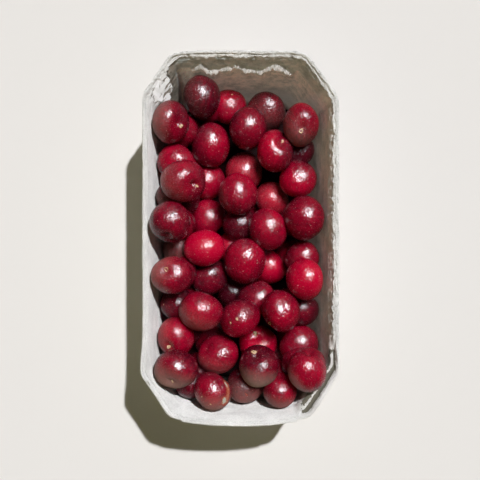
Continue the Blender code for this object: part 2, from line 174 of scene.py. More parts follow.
# how the skin's ripeness changes over single cherries: towards the right and towards the top
# of the view; and painted shade, as how much darker the flanks are made
RIPENESS_SLOPE_AND_FLANK_SHADE = {
    "a01": (-0.05, 0.0, 0.3), "a02": (-0.05, -0.1, 0.15), "a03": (-0.1, 0.0, 0.0),
    "a04": (-0.05, -0.05, 0.2), "a05": (0.05, 0.2, 0.05), "a06": (0.05, -0.05, 0.45),
    "a07": (-0.45, 0.05, 0.4), "a08": (0.3, -0.1, 0.45), "a10": (0.0, 0.05, 0.2),
    "a12": (0.1, 0.3, 0.25), "a14": (-0.2, -0.35, 0.25), "a16": (0.05, 0.0, 0.4),
    "a17": (0.1, 0.1, 0.3), "a18": (0.1, 0.15, 0.2), "a20": (-0.2, -0.2, 0.2),
    "a21": (-0.1, -0.05, 0.1), "a23": (0.0, 0.1, 0.35), "a24": (0.1, 0.3, 0.1),
    "a26": (0.25, 0.1, 0.45), "a27": (-0.15, 0.15, 0.2), "a31": (0.0, 0.05, 0.45),
    "a32": (0.3, -0.15, 0.1), "a33": (0.1, -0.25, 0.2), "a34": (0.0, -0.05, 0.3),
    "a35": (0.0, 0.0, 0.35), "a36": (-0.05, 0.1, 0.15), "a37": (0.0, -0.05, 0.05),
    "a39": (-0.05, 0.4, 0.1), "a40": (0.05, 0.0, 0.2), "a41": (-0.1, 0.15, 0.1),
    "a42": (0.05, 0.05, 0.45), "a43": (-0.05, 0.0, 0.3), "a44": (-0.05, 0.0, 0.45),
    "a46": (0.0, -0.15, 0.25), "a47": (0.3, 0.1, 0.15),
}
PLAIN_SLOPE_AND_FLANK_SHADE = (0.0, 0.0, 0.25)
# pale brown bloom, which also paints in the reflection of the sunlit pulp wall on flanks that
# face it: its middle share, and how it grows to the right and up the view
BLOOM_AND_WALL_SHEEN = {
    "a01": (0.03, -0.08, 0.0), "a02": (0.06, -0.35, 0.05), "a04": (0.08, -0.05, -0.1),
    "a05": (0.06, -0.1, -0.15), "a10": (0.02, -0.15, -0.05), "a12": (-0.1, -0.2, -0.05),
    "a13": (0.06, 0.0, 0.0), "a15": (0.06, 0.0, 0.0), "a27": (0.02, -0.3, 0.1), "a28": (0.2, -0.1, 0.0),
    "a31": (0.03, -0.1, -0.15), "a36": (0.0, -0.25, 0.0), "a37": (0.0, -0.05, -0.25),
    "a40": (0.02, -0.1, -0.8), "a42": (-0.3, -0.5, -0.45), "a43": (0.14, -0.25, -0.5),
    "a44": (0.05, 0.0, -0.55), "a46": (0.16, 0.0, -0.25), "a47": (-0.02, -0.05, -0.45),
    "a51": (0.1, -0.1, -0.2),
}
PLAIN_BLOOM_AND_WALL_SHEEN = (0.0, 0.0, 0.0)
# marks pressed into single cherries: kind, places across and down the view, reach and depth
# as shares of the cherry's radius
MARKS = {
    "a01": (("dent", (209, 90), None, 0.07, 0.03), ("dent", (205, 92), None, 0.05, 0.02)),
    "a02": (("groove", (176, 108), (181, 126), 0.13, 0.06),),
    "a03": (("groove", (226, 98), (233, 108), 0.10, 0.03),),
    "a04": (("dent", (268, 104), None, 0.10, 0.03),),
    "a06": (("dent", (238, 139), None, 0.06, 0.03),),
    "a07": (("groove", (281, 143), (288, 128), 0.20, 0.17), ("dent", (282, 142), None, 0.2, 0.05)),
    "a08": (("dent", (228, 160), None, 0.30, 0.04),),
    "a09": (("groove", (183, 153), (188, 168), 0.12, 0.03),),
    "a10": (("dent", (197, 187), None, 0.22, 0.09), ("ring", (197, 187), None, 0.30, -0.03)),
    "a12": (("dent", (229, 190), None, 0.22, 0.03), ("dent", (243, 178), None, 0.12, 0.02)),
    "a14": (("ring", (297, 178), None, 0.16, 0.035), ("groove", (290, 186), (304, 190), 0.1, 0.02)),
    "a17": (("groove", (175, 210), (180, 226), 0.10, 0.035),
            ("groove", (160, 241), (176, 243), 0.16, 0.12)),
    "a18": (("groove", (269, 216), (271, 240), 0.06, 0.012),),
    "a19": (("groove", (201, 212), (206, 228), 0.10, 0.02),),
    "a20": (("groove", (190, 240), (192, 256), 0.12, 0.02),),
    "a23": (("groove", (238, 268), (251, 268), 0.08, 0.035),
            ("groove", (255, 246), (262, 262), 0.1, 0.02)),
    "a26": (("dent", (325, 280), None, 0.5, 0.06), ("groove", (306, 262), (310, 276), 0.08, 0.015)),
    "a27": (("dent", (178, 268), None, 0.16, 0.03),),
    "a31": (("ring", (205, 304), None, 0.17, 0.035), ("groove", (190, 322), (206, 326), 0.1, 0.03)),
    "a33": (("groove", (228, 322), (246, 308), 0.08, 0.03), ("dent", (237, 319), None, 0.1, 0.04)),
    "a34": (("groove", (279, 300), (284, 312), 0.10, 0.06),
            ("groove", (272, 305), (277, 313), 0.08, -0.03),
            ("groove", (288, 300), (289, 310), 0.08, -0.03), ("dent", (267, 326), None, 0.16, 0.06)),
    "a35": (("dent", (296, 300), None, 0.2, 0.04),),
    "a37": (("ring", (207, 346), None, 0.26, 0.05), ("dent", (219, 345), None, 0.12, 0.04)),
    "a38": (("dent", (205, 335), None, 0.2, 0.04),),
    "a40": (("dent", (254, 352), None, 0.16, 0.05), ("groove", (264, 354), (272, 362), 0.08, 0.035)),
    "a41": (("groove", (288, 340), (296, 352), 0.1, 0.025),),
    "a42": (("groove", (295, 359), (316, 355), 0.11, 0.06),
            ("groove", (300, 384), (318, 380), 0.1, 0.02)),
    "a43": (("dent", (172, 383), None, 0.24, 0.06), ("groove", (172, 382), (168, 392), 0.14, 0.05)),
    "a44": (("groove", (226, 378), (224, 401), 0.16, 0.05),
            ("groove", (219, 378), (222, 384), 0.08, 0.04)),
    "a46": (("groove", (244, 389), (248, 393), 0.05, 0.03),),
    "a47": (("groove", (268, 384), (272, 400), 0.14, 0.03),),
}
# healed wound on one cherry: places across and down the view, reach and strength
WOUNDS = {
    "a44": (((225.5, 380), (227.5, 384), 0.12, 1.0), ((226, 378), (228.5, 389), 0.25, 0.70),
            ((228.5, 389), (226.5, 400), 0.25, 0.70), ((224.5, 396), (225.5, 400), 0.17, 1.1),
            ((221.5, 401), (225.5, 403), 0.12, 0.70)),
    "a46": (((245, 390), (247.5, 392.5), 0.035, 0.9),),
}
# stalk scars that show: across and down the view, radius in millimetres, kind
SCARS = (
    (301, 131, 1.45, "ring"), (181, 126, 1.25, "plug"), (282.5, 141.5, 1.05, "plug"),
    (197, 186, 0.95, "plug"), (166.3, 269.3, 1.45, "ring"), (168.8, 346.8, 1.45, "stub"),
    (255.3, 333.5, 1.55, "stub"), (269.6, 323.4, 1.25, "ring"), (254, 352, 1.55, "plug"),
    (172.2, 381, 1.15, "plug"), (232, 94.5, 0.75, "dot"), (237, 319, 0.95, "dot"),
    (230.6, 323, 0.65, "dot"), (210.6, 404.4, 0.6, "dot"), (201.8, 396.8, 0.5, "dot"),
    (163.6, 304.6, 0.45, "dot"), (166.4, 290.6, 0.4, "dot"),
)
# sections of scars, from edge to middle, as radius and height over the scar's own radius
SCAR_SECTIONS = {
    "ring": ((1.05, -0.30), (1.0, 0.06), (0.86, 0.20), (0.66, 0.16), (0.50, -0.02), (0.30, -0.16)),
    "plug": ((1.05, -0.30), (0.98, 0.02), (0.80, 0.10), (0.55, 0.12), (0.35, 0.10), (0.18, 0.09)),
    "stub": ((1.0, -0.40), (0.92, 0.10), (0.72, 0.42), (0.56, 0.52), (0.40, 0.38), (0.22, 0.16)),
    "dot": ((1.05, -0.30), (0.98, 0.02), (0.80, 0.12), (0.55, 0.16), (0.35, 0.17), (0.18, 0.17)),
}
SCAR_SIDES = 20


# ---------------------------------------------------------------- settings

class PunnetSettings(PropertyGroup):
    """Sizes and colours of the pulp punnet."""
    warp: FloatProperty(name="Warp", description="Slow unevenness of the walls",
                        default=0.45 * MM, min=0.0, unit="LENGTH", precision=5)
    pulp_relief: FloatProperty(name="Pulp relief", description="Lumps of the pulp's surface",
                               default=0.16 * MM, min=0.0, unit="LENGTH", precision=5)
    torn_relief: FloatProperty(name="Torn edge", description="Roughness of the rim's edge",
                               default=0.42 * MM, min=0.0, unit="LENGTH", precision=5)
    pulp_colour: FloatVectorProperty(name="Pulp", description="Colour of the dry pulp",
                                     default=(0.80, 0.795, 0.76), size=3, subtype="COLOR",
                                     min=0.0, max=1.0)


class CherrySettings(PropertyGroup):
    """Colours and fineness of the cherries."""
    bright: FloatVectorProperty(name="Bright skin", description="Colour of the brightest skin",
                                default=(0.54, 0.001, 0.030), size=3, subtype="COLOR",
                                min=0.0, max=1.0)
    dark: FloatVectorProperty(name="Dark skin", description="Colour of the ripest skin",
                              default=(0.075, 0.002, 0.009), size=3, subtype="COLOR",
                              min=0.0, max=1.0)
    rings: IntProperty(name="Rings", description="Rings round a cherry that shows",
                       default=32, min=8, max=60)
    sides: IntProperty(name="Sides", description="Sides round a cherry that shows",
                       default=48, min=8, max=80)


class StageSettings(PropertyGroup):
    """Floor and light."""
    floor_colour: FloatVectorProperty(name="Floor", description="Colour of the floor",
                                      default=(0.832, 0.809, 0.768), size=3, subtype="COLOR",
                                      min=0.0, max=1.0)
    low_sky: FloatVectorProperty(name="Low light", description="Soft light from the sides",
                                 default=(0.27, 0.247, 0.108), size=3, subtype="COLOR", min=0.0,
                                 max=1.0)
    high_sky: FloatVectorProperty(name="High light", description="Soft light from above",
                                  default=(0.01, 0.01, 0.01), size=3, subtype="COLOR", min=0.0,
                                  max=1.0)
    key_strength: FloatProperty(name="Key", description="Strength of the key light",
                                default=3.30, min=0.0)
    shine_strength: FloatProperty(name="Shine", description="Strength of the highlights' light",
                                  default=12.0, min=0.0)
    fill_strength: FloatProperty(name="Fill", description="Strength of the soft light inside",
                                 default=0.42, min=0.0)
    key_height: FloatProperty(name="Key from upright", description="Slant of the key light",
                              default=math.radians(30.9), subtype="ANGLE")
    key_turn: FloatProperty(name="Key turn", description="Side that the key light comes from",
                            default=math.radians(59.5), subtype="ANGLE")
    key_size: FloatProperty(name="Key size", description="Apparent size of the key light",
                            default=math.radians(1.6), subtype="ANGLE")
    key_blur: FloatProperty(name="Key blur",
                            description="Apparent size of the key on the cherries",
                            default=math.radians(28.0), subtype="ANGLE")
    shine_size: FloatProperty(name="Shine size",
                              description="Apparent size of the highlights' light",
                              default=math.radians(14.2), subtype="ANGLE")


# ---------------------------------------------------------------- helpers

def link_mesh(name, points, faces, material, smooth=True):
    """New mesh object from points and faces, linked to the scene."""
    mesh = bpy.data.meshes.new(name)
    mesh.from_pydata([tuple(p) for p in points], [], faces)
    mesh.validate()
    if smooth:
        mesh.polygons.foreach_set("use_smooth", [True] * len(mesh.polygons))
    mesh.materials.append(material)
    item = bpy.data.objects.new(name, mesh)
    bpy.context.scene.collection.objects.link(item)
    return item


def set_attribute(mesh, name, values):
    """Store a number or a vector at each point of a mesh."""
    values = np.asarray(values)
    plain = values.ndim == 1
    attribute = mesh.attributes.new(name, "FLOAT" if plain else "FLOAT_VECTOR", "POINT")
    attribute.data.foreach_set("value" if plain else "vector", values.ravel())


def ring_faces(rings, count, start=0):
    """Faces between rings of points that follow one another."""
    faces = []
    for base in range(start, start + (rings - 1) * count, count):
        for i in range(count):
            j = (i + 1) % count
            faces.append((base + i, base + j, base + count + j, base + count + i))
    return faces


def closing_faces(last, count, hub):
    """Fans that join the first ring to one hub and the last ring to the next."""
    faces = []
    for i in range(count):
        j = (i + 1) % count
        faces.append((j, i, hub))
        faces.append((last + i, last + j, hub + 1))
    return faces


class Nodes:
    """Adds nodes to one node tree, row by row, and joins them."""

    def __init__(self, tree):
        self.tree = tree
        self.count = 0

    def add(self, kind, **values):
        """Add a node and set its properties."""
        node = self.tree.nodes.new("ShaderNode" + kind)
        node.location = (220 * (self.count % 8) - 2200, 320 * (self.count // 8) - 400)
        self.count += 1
        for name, value in values.items():
            setattr(node, name, value)
        return node

    def feed(self, node, **values):
        """Give a node's inputs a constant each, or join them to an output each."""
        for name, value in values.items():
            socket = node.inputs[name.replace("_", " ")]
            if isinstance(value, bpy.types.NodeSocket):
                self.tree.links.new(value, socket)
            elif socket.type == "RGBA":
                socket.default_value = (*value, 1.0)
            else:
                socket.default_value = value
        return node

    def math(self, operation, *parts, clamp=False):
        """Arithmetic on numbers and outputs."""
        node = self.add("Math", operation=operation, use_clamp=clamp)
        for socket, part in zip(node.inputs, parts):
            if isinstance(part, bpy.types.NodeSocket):
                self.tree.links.new(part, socket)
            else:
                socket.default_value = part
        return node.outputs["Value"]

    def noise(self, vector, scale, detail, roughness=0.5):
        """Noise over a place."""
        node = self.feed(self.add("TexNoise"), Vector=vector, Scale=scale, Detail=detail,
                         Roughness=roughness)
        return node.outputs["Fac"]

    def cells(self, vector, scale):
        """Distance to the middle of the nearest cell, and that cell's own colour."""
        node = self.feed(self.add("TexVoronoi"), Vector=vector, Scale=scale)
        return node.outputs["Distance"], node.outputs["Color"]

    def ramp(self, value, *stops):
        """Colour ramp with the given stops of position and grey or colour."""
        node = self.feed(self.add("ValToRGB"), Fac=value)
        ramp = node.color_ramp
        while len(ramp.elements) < len(stops):
            ramp.elements.new(0.5)
        for element, (position, colour) in zip(ramp.elements, stops):
            element.position = position
            if isinstance(colour, (int, float)):
                colour = (colour, colour, colour)
            element.color = (*colour, 1.0)
        return node.outputs["Color"]

    def mix(self, factor, first, second, blend="MIX"):
        """Mix of two colours."""
        node = self.feed(self.add("Mix", data_type="RGBA", blend_type=blend), Factor=factor,
                         A=first, B=second)
        return node.outputs["Result"]

    def times(self, first, second, factor=1.0):
        """Product of two colours."""
        return self.mix(factor, first, second, "MULTIPLY")

    def attribute(self, name, output="Fac"):
        """Attribute that the mesh stores."""
        return self.add("Attribute", attribute_name=name).outputs[output]

    def bump(self, height, strength, distance):
        """Normal that follows a height."""
        node = self.feed(self.add("Bump"), Height=height, Strength=strength, Distance=distance)
        return node.outputs["Normal"]


def new_material(name):
    """Material with a Principled shader, with what adds its nodes, and the shader."""
    material = bpy.data.materials.new(name)
    material.use_nodes = True
    tree = material.node_tree
    return material, Nodes(tree), tree.nodes["Principled BSDF"]


# ---------------------------------------------------------------- punnet shape

def wall_planes(inset, height):
    """Sides of the outline, anticlockwise, as outward normal, offset and flare."""
    drop = PUNNET_HEIGHT - height
    half_width = RIM_WIDTH / 2
    reach = {1: RIM_LENGTH / 2 - HIGH_END_BOW, -1: RIM_LENGTH / 2 - LOW_END_BOW}
    straight = ((1.0, 0.0, half_width, SIDE_FLARE), (0.0, 1.0, reach[1], END_FLARE),
                (-1.0, 0.0, half_width, SIDE_FLARE), (0.0, -1.0, reach[-1], END_FLARE))
    planes = []
    for plain, (side, end, along_end, along_side) in zip(straight, CORNER_CUTS):
        size = math.hypot(along_end, along_side)
        across = side * along_side / size
        down = end * along_end / size
        offset = across * side * half_width + down * end * (reach[end] - along_side)
        planes += [plain, (across, down, offset, CORNER_FLARE)]
    return [(across, down, offset - inset - flare * drop, flare)
            for across, down, offset, flare in planes]


def unit(angle):
    """Unit vector in the plane."""
    return Vector((math.cos(angle), math.sin(angle)))


def crossing(first, second):
    """Where two sides of the outline meet."""
    turn = first[0] * second[1] - first[1] * second[0]
    return Vector(((first[2] * second[1] - second[2] * first[1]) / turn,
                   (first[0] * second[2] - second[0] * first[2]) / turn))


def end_bow(x, half_span, height, size):
    """How far an end wall swells outward at a point along it."""
    share = max(0.0, 1.0 - (x / half_span) ** 2)
    return size * share * (0.4 + 0.6 * height / PUNNET_HEIGHT)


def corner_sides(planes, inset):
    """Tangent sides at the middles of the eight rounded corners."""
    sides = []
    radius = max(CORNER_ROUND - inset, LEAST_ROUND)
    for i in range(8):
        first = planes[i]
        second = planes[(i + 1) % 8]
        corner = crossing(first, second)
        middle = Vector((first[0] + second[0], first[1] + second[1]))
        half_turn = math.acos(min(1.0, middle.length / 2))
        middle.normalize()
        offset = corner.dot(middle) - radius * (1.0 / math.cos(half_turn) - 1.0)
        sides.append((middle.x, middle.y, offset, (first[3] + second[3]) / 2))
    return sides


def outline(inset, height):
    """Ring of points: an oblong with cut, rounded corners and slightly bowed ends."""
    planes = wall_planes(inset, height)
    corners = [crossing(planes[i], planes[(i + 1) % 8]) for i in range(8)]
    half_span = max(abs(corners[1].x), abs(corners[5].x))
    radius = max(CORNER_ROUND - inset, LEAST_ROUND)
    arcs = []
    for i in range(8):
        first = planes[i]
        second = planes[(i + 1) % 8]
        start = math.atan2(first[1], first[0])
        turn = (math.atan2(second[1], second[0]) - start) % math.tau
        centre = corners[i] - radius / math.cos(turn / 2) * unit(start + turn / 2)
        arcs.append([centre + radius * unit(start + turn * s / ARC_STEPS)
                     for s in range(ARC_STEPS + 1)])
    points = []
    for i in range(8):
        points.extend(arcs[i])
        following = (i + 1) % 8
        steps = EDGE_STEPS[following]
        near = arcs[i][-1]
        far = arcs[following][0]
        for step in range(1, steps):
            point = near.lerp(far, step / steps)
            if following in (2, 6):
                size = HIGH_END_BOW if following == 2 else -LOW_END_BOW
                point.y += end_bow(point.x, half_span, height, size)
            points.append(point)
    return [(point.x, point.y, height) for point in points]


# Section over the lip and down the inside, as depth below the rim and distance from the
# wall planes: where the edge is torn, where it is rolled smooth, where it is grooved, and
# where the groove widens into a split.
LIP_ROWS = (
    ((0.00, 0.85), (0.00, 0.85), (0.00, 0.85), (0.00, 0.85), 0.50),
    ((0.22, 0.30), (0.28, 0.26), (0.25, 0.30), (0.30, 0.30), 0.50),
    ((0.70, 0.00), (0.85, 0.00), (0.75, 0.00), (0.95, 0.00), 0.42),
    ((1.60, 0.00), (1.65, 0.08), (1.60, 0.05), (1.70, 0.05), 0.32),
    ((1.90, 0.32), (2.15, 0.45), (1.90, 0.50), (2.20, 0.50), 0.30),
    ((2.05, 0.95), (2.35, 1.20), (1.95, 1.60), (2.35, 1.80), 0.42),
    ((2.40, 1.10), (2.85, 1.12), (2.10, 3.00), (2.60, 3.80), 0.42),
    ((3.30, 1.20), (3.30, 2.00), (2.90, 3.10), (4.40, 3.90), 0.42),
    ((3.65, 1.60), (3.75, 3.30), (3.05, 1.90), (4.60, 2.30), 0.40),
    ((3.72, 2.60), (4.00, 4.40), (3.30, 1.50), (4.90, 1.90), 0.60),
    ((3.80, 4.00), (4.25, 6.00), (4.50, 1.90), (7.40, 2.30), 0.70),
    ((3.90, 6.50), (4.40, 8.50), (4.90, 3.60), (7.80, 4.40), 0.74),
    ((3.90, 11.0), (4.45, 12.0), (4.50, 9.00), (6.60, 9.50), 0.74),
    ((3.90, 17.0), (4.30, 17.0), (3.95, 17.0), (5.20, 17.0), 1.00),
    ((3.90, 24.0), (3.90, 25.0), (3.90, 24.0), (4.10, 24.0), 2.40),
)


def punnet_rows():
    """Rows of the punnet's section, each as four places of inset and height."""
    top = PUNNET_HEIGHT
    foot = LIP_OVERHANG + FOOT_ROUND
    inner = LIP_OVERHANG + WALL_THICKNESS
    outside = (
        (foot + FOOT_WIDTH + 3 * MM, FOOT_HEIGHT, 2.0),
        (foot + FOOT_WIDTH + 0.4 * MM, 0.25 * MM, 2.0),
        (foot + FOOT_WIDTH - 0.6 * MM, 0.0, 3.0),
        (foot, 0.0, 2.0),
        (LIP_OVERHANG + 0.42 * FOOT_ROUND, 0.22 * FOOT_ROUND, 1.5),
        (LIP_OVERHANG + 0.08 * FOOT_ROUND, 0.62 * FOOT_ROUND, 1.5),
        (LIP_OVERHANG, 1.3 * FOOT_ROUND, 4.2),
        (LIP_OVERHANG, top - LIP_DEPTH - 2.0 * MM, 0.8),
        (LIP_OVERHANG * 0.85, top - LIP_DEPTH - 0.5 * MM, 0.6),
        (0.30 * LIP_OVERHANG, top - LIP_DEPTH + 0.1 * MM, 0.6),
        (0.0, top - LIP_DEPTH + 0.9 * MM, 0.6),
    )
    inside = (
        (inner, FLOOR_HEIGHT + 1.15 * FLOOR_ROUND, 2.4),
        (inner + 0.10 * FLOOR_ROUND, FLOOR_HEIGHT + 0.6 * FLOOR_ROUND, 2.4),
        (inner + 0.34 * FLOOR_ROUND, FLOOR_HEIGHT + 0.24 * FLOOR_ROUND, 2.4),
        (inner + FLOOR_ROUND, FLOOR_HEIGHT, 1.0),
    )
    rows = [(((inset, height),) * 4, step) for inset, height, step in outside]
    for *places, step in LIP_ROWS:
        rows.append((tuple((inset * MM, top - depth * MM) for inset, depth in places), step))
    rows += [(((inset, height),) * 4, step) for inset, height, step in inside]
    fine = [rows[0][0]]
    for (near, step), (far, _) in zip(rows, rows[1:]):
        length = max(math.dist(a, b) for a, b in zip(near, far))
        count = max(1, round(length / (step * MM)))
        for k in range(1, count + 1):
            share = k / count
            fine.append(tuple((a[0] + (b[0] - a[0]) * share, a[1] + (b[1] - a[1]) * share)
                              for a, b in zip(near, far)))
    return fine


def smooth_step(low, high, value):
    """0 at low, 1 at high, smooth between; works on numpy arrays."""
    share = np.clip((value - low) / (high - low), 0.0, 1.0)
    return share * share * (3.0 - 2.0 * share)


def rise(low, high, value):
    """Smooth step between two places that are given in millimetres."""
    return smooth_step(low * MM, high * MM, value)


def noise_at(points, scale, seed):
    """Perlin noise at each point, roughly between -1 and 1."""
    shift = Vector((seed * 17.3, seed * 5.1, seed * 11.7))
    return np.array([noise.noise(Vector(p) * scale + shift) for p in points])


# torn shelf inside the high end, in millimetres: place across, height, how far it stands out
SHELF = ((-29.0, 58.8, -0.3), (-27.8, 59.9, 0.5), (-25.9, 61.3, 0.9), (-23.8, 62.5, 1.5),
         (-21.9, 60.8, 1.1), (-20.1, 58.5, 1.5), (-17.9, 57.3, 0.8), (-16.7, 58.2, 1.2),
         (-14.2, 57.9, 0.8), (-12.7, 58.5, -0.3), (-11.2, 59.0, 0.6), (-8.7, 59.9, 1.1),
         (-4.4, 60.8, 0.9), (-2.9, 62.2, 1.1), (-0.7, 61.3, 0.5), (1.1, 59.6, 0.4),
         (3.6, 58.8, 1.0), (6.0, 58.5, 1.1), (9.7, 57.9, 0.8), (13.4, 57.6, 1.3),
         (15.3, 59.0, 0.8), (17.7, 60.8, 1.1), (19.6, 62.2, 1.6), (22.0, 62.5, 1.9),
         (24.5, 61.3, 1.7), (26.4, 59.6, 0.9), (28.2, 57.9, 1.4), (31.3, 57.0, 0.7),
         (32.5, 56.6, -0.3))


def shelf_line(x):
    """Height of the wavy torn shelf inside the high end, and how far it stands out."""
    places, heights, widths = np.array(SHELF).T * MM
    return np.interp(x, places, heights), np.interp(x, places, widths)


def patch_place(x, y):
    """Place along the cut corner of the high end and out from it."""
    return (x * PATCH_DIRECTION[0] + y * PATCH_DIRECTION[1],
            x * -PATCH_DIRECTION[1] + y * PATCH_DIRECTION[0])


def cut_corner(along, cut, start, end):
    """Share of the cut corner of the high end, which begins between two places along it."""
    return rise(80, 84, cut) * rise(start, end, along)


def patch_lean(z):
    """How far the layered pulp on the cut corner slopes in at a height."""
    return 12.5 * MM * np.clip((68.5 * MM - z) / (10 * MM), 0.0, 1.0)


def corner_patch(x, y, z):
    """Share of the layered, sunlit pulp on the cut corner of the high end."""
    along, cut = patch_place(x, y)
    patch = cut_corner(along, cut, 32, 40) * rise(34, 56, z) * rise(69.4, 68, z)
    layers = np.stack([along * 0.9, z * 0.5, cut * 0.5], axis=1)
    ragged = 1.5 * MM * noise_at(layers, 300.0, 22) + 1.5 * MM * noise_at(layers, 750.0, 23)
    brink = x + PATCH_DIRECTION[1] * patch_lean(z) + ragged
    end = along + 1.5 * ragged - 0.25 * patch_lean(z)
    return patch * rise(-40.2, -41.6, brink) * rise(56, 53, end)


def edge_masks(x, y):
    """Shares of the torn, rolled, grooved and split edge at places round the rim."""
    torn = np.maximum(rise(70, 88, y), rise(30, 50, x) * rise(-68, -54, y))
    grooved = rise(33, 41, x) * rise(-62, -71, y)
    torn = np.minimum(torn, 1.0 - grooved)
    split = grooved * rise(-73, -84, y) * rise(33, 38, x)
    return torn, 1.0 - torn - grooved, grooved - split, split


class PulpSkin:
    """Skin of the smooth punnet, and how far each point of it moves to warp and tear it."""

    def __init__(self, points, normals, inner, lay):
        self.points = points
        self.normals = normals
        self.inner = inner
        self.lay = lay
        self.shift = np.zeros_like(points)
        x, y, z = points.T
        self.near_rim = rise(62, 69, z)
        self.torn = edge_masks(x, y)[0]
        # outward direction of the nearest wall, whichever way the skin faces
        flat = np.hypot(normals[:, 0], normals[:, 1])
        side = normals * (1.0, 1.0, 0.0) / np.maximum(flat, 1e-6)[:, None]
        self.out = side * np.where(inner > 0.5, -1.0, 1.0)[:, None]

    def push(self, direction, amount):
        """Move the skin along a direction."""
        self.shift += direction * amount[:, None]

    def warp(self, size):
        """Uneven walls, and a rim that stands out where it was pulled from the mould."""
        x, y, z = self.points.T
        self.push(self.out, size * noise_at(self.points, 26.0, 1) * rise(4, 30, z))
        for across, along, by, reach in PULLS:
            pull = np.exp(-((x / MM - across) ** 2 + (y / MM - along) ** 2) / reach ** 2)
            self.shift[:, 0] += math.copysign(by * MM, across) * pull * self.near_rim
        self.shift[:, 1] -= 0.5 * MM * self.near_rim * rise(-80, -104, y)
        self.shift[:, 1] += 0.5 * MM * self.near_rim * rise(80, 104, y)
        self.shift[:, 0] += 0.7 * MM * self.near_rim * rise(40, 54, x) * self.torn

    def tear_rim(self, relief):
        """Edge that is wavy at a few millimetres and torn at one."""
        points = self.points
        torn = self.torn
        x, y, z = points.T
        flatter = points * (1, 1, 0.5)
        edge = (0.35 * noise_at(flatter, 190.0, 2) + 0.5 * noise_at(points, 1050.0, 4)
                + 0.9 * noise_at(self.lay * (0.28, 1.5, 1.0), 900.0, 3))
        self.push(self.normals, relief * self.near_rim * (0.50 + 0.50 * torn) * edge)
        # on the torn side, crumbs stand up and the ledge under the edge comes and goes
        crumb = (0.8 * noise_at(self.lay * (0.4, 1.0, 1.0), 800.0, 11)
                 + 0.5 * noise_at(flatter, 900.0, 12))
        self.shift[:, 2] += 0.6 * MM * torn * rise(67.6, 69.6, z) * np.clip(crumb, -0.9, 0.35)
        ragged = (0.9 * noise_at(points * (1, 1, 0.1), 105.0, 7) + 0.1
                  + 0.8 * noise_at(points * (1, 1, 0.2), 430.0, 8)
                  + 0.5 * noise_at(flatter, 900.0, 17))
        ledge = rise(66.2, 67.4, z) * rise(69.7, 69.0, z)
        self.push(self.out, 1.0 * MM * ledge * self.inner * torn * ragged)
        level = rise(68.2, 68.7, z) * rise(70.0, 69.4, z) * rise(46, 52, x) * rise(86, 78, y)
        self.shift[:, 2] += 0.7 * MM * self.inner * torn * level
        # the groove and the split have ragged sides
        groove = sum(edge_masks(x, y)[2:]) * self.inner * rise(57, 62, z) * rise(69.4, 68.6, z)
        ragged = noise_at(flatter, 240.0, 18) + 0.85 * noise_at(flatter, 640.0, 19)
        self.push(self.out, 0.46 * MM * groove * ragged)

    def add_lumps(self, relief):
        """Lumps everywhere, drawn out along the wall."""
        lumps = (1.6 * noise_at(self.lay * (0.3, 1.2, 1.0), 230.0, 5)
                 + noise_at(self.lay, 480.0, 21) + 0.6 * noise_at(self.points, 900.0, 6))
        rough = 1.0 + 0.8 * rise(-80, -100, self.points[:, 1])
        self.push(self.normals, relief * rough * lumps * (1.0 - 0.5 * self.near_rim))

    def slope_corner(self):
        """Layered pulp on the cut corner at the high end, which slopes in and shows streaks."""
        x, y, z = self.points.T
        along, cut = patch_place(x, y)
        patch = self.inner * corner_patch(x, y, z)
        self.push(self.out, -patch * patch_lean(z))
        streak = np.stack([along * 0.25, z * 0.9, cut * 0.3], axis=1)
        fibres = noise_at(streak, 420.0, 9) + 0.4 * noise_at(streak, 800.0, 13)
        corner = self.inner * cut_corner(along, cut, 32, 40) * rise(69.4, 67, z) * rise(20, 40, z)
        self.push(self.normals, (0.5 * corner + 0.4 * patch) * MM * fibres)
        # the wall is thicker beside the corner
        beside = np.exp(-((x / MM + 41) / 7.5) ** 2) * self.inner * rise(80, 90, y)
        self.push(self.out, -1.2 * MM * beside * rise(69.0, 48, z) * rise(10, 40, z))

    def tear_shelf(self):
        """Scalloped shelf on the wall of the high end."""
        x, y, z = self.points.T
        start, end = SHELF_ENDS
        wall = self.inner * rise(88, 92, y) * (z < 66.5 * MM)
        wall = wall * smooth_step(start - 3 * MM, start, x) * smooth_step(end + 3 * MM, end, x)
        line = self.points * (1, 0, 0)
        brink, stand = shelf_line(x)
        brink = brink + 0.4 * MM * noise_at(line, 400.0, 10) + 0.5 * MM * noise_at(line, 900.0, 14)
        stand = (stand * (1.25 + 1.3 * noise_at(line, 700.0, 15))
                 + 0.3 * MM * noise_at(line, 1600.0, 24))
        # under its brink the shelf reaches as far as the key's shadow, and then fades out
        reach = 4.4 * MM + stand + 0.35 * MM * noise_at(self.points, 700.0, 16)
        need = KEY_FALL * (68.4 * MM - brink) + reach
        have = LIP_OVERHANG + WALL_THICKNESS + END_FLARE * (PUNNET_HEIGHT - brink)
        fade = np.clip((z - brink + 20 * MM) / (20 * MM), 0.0, 1.0)
        fade = rise(0.4, -0.4, z - brink) * (0.2 + 0.8 * fade) * fade
        self.shift[:, 1] -= np.maximum(need - have, 0.0) * fade * wall


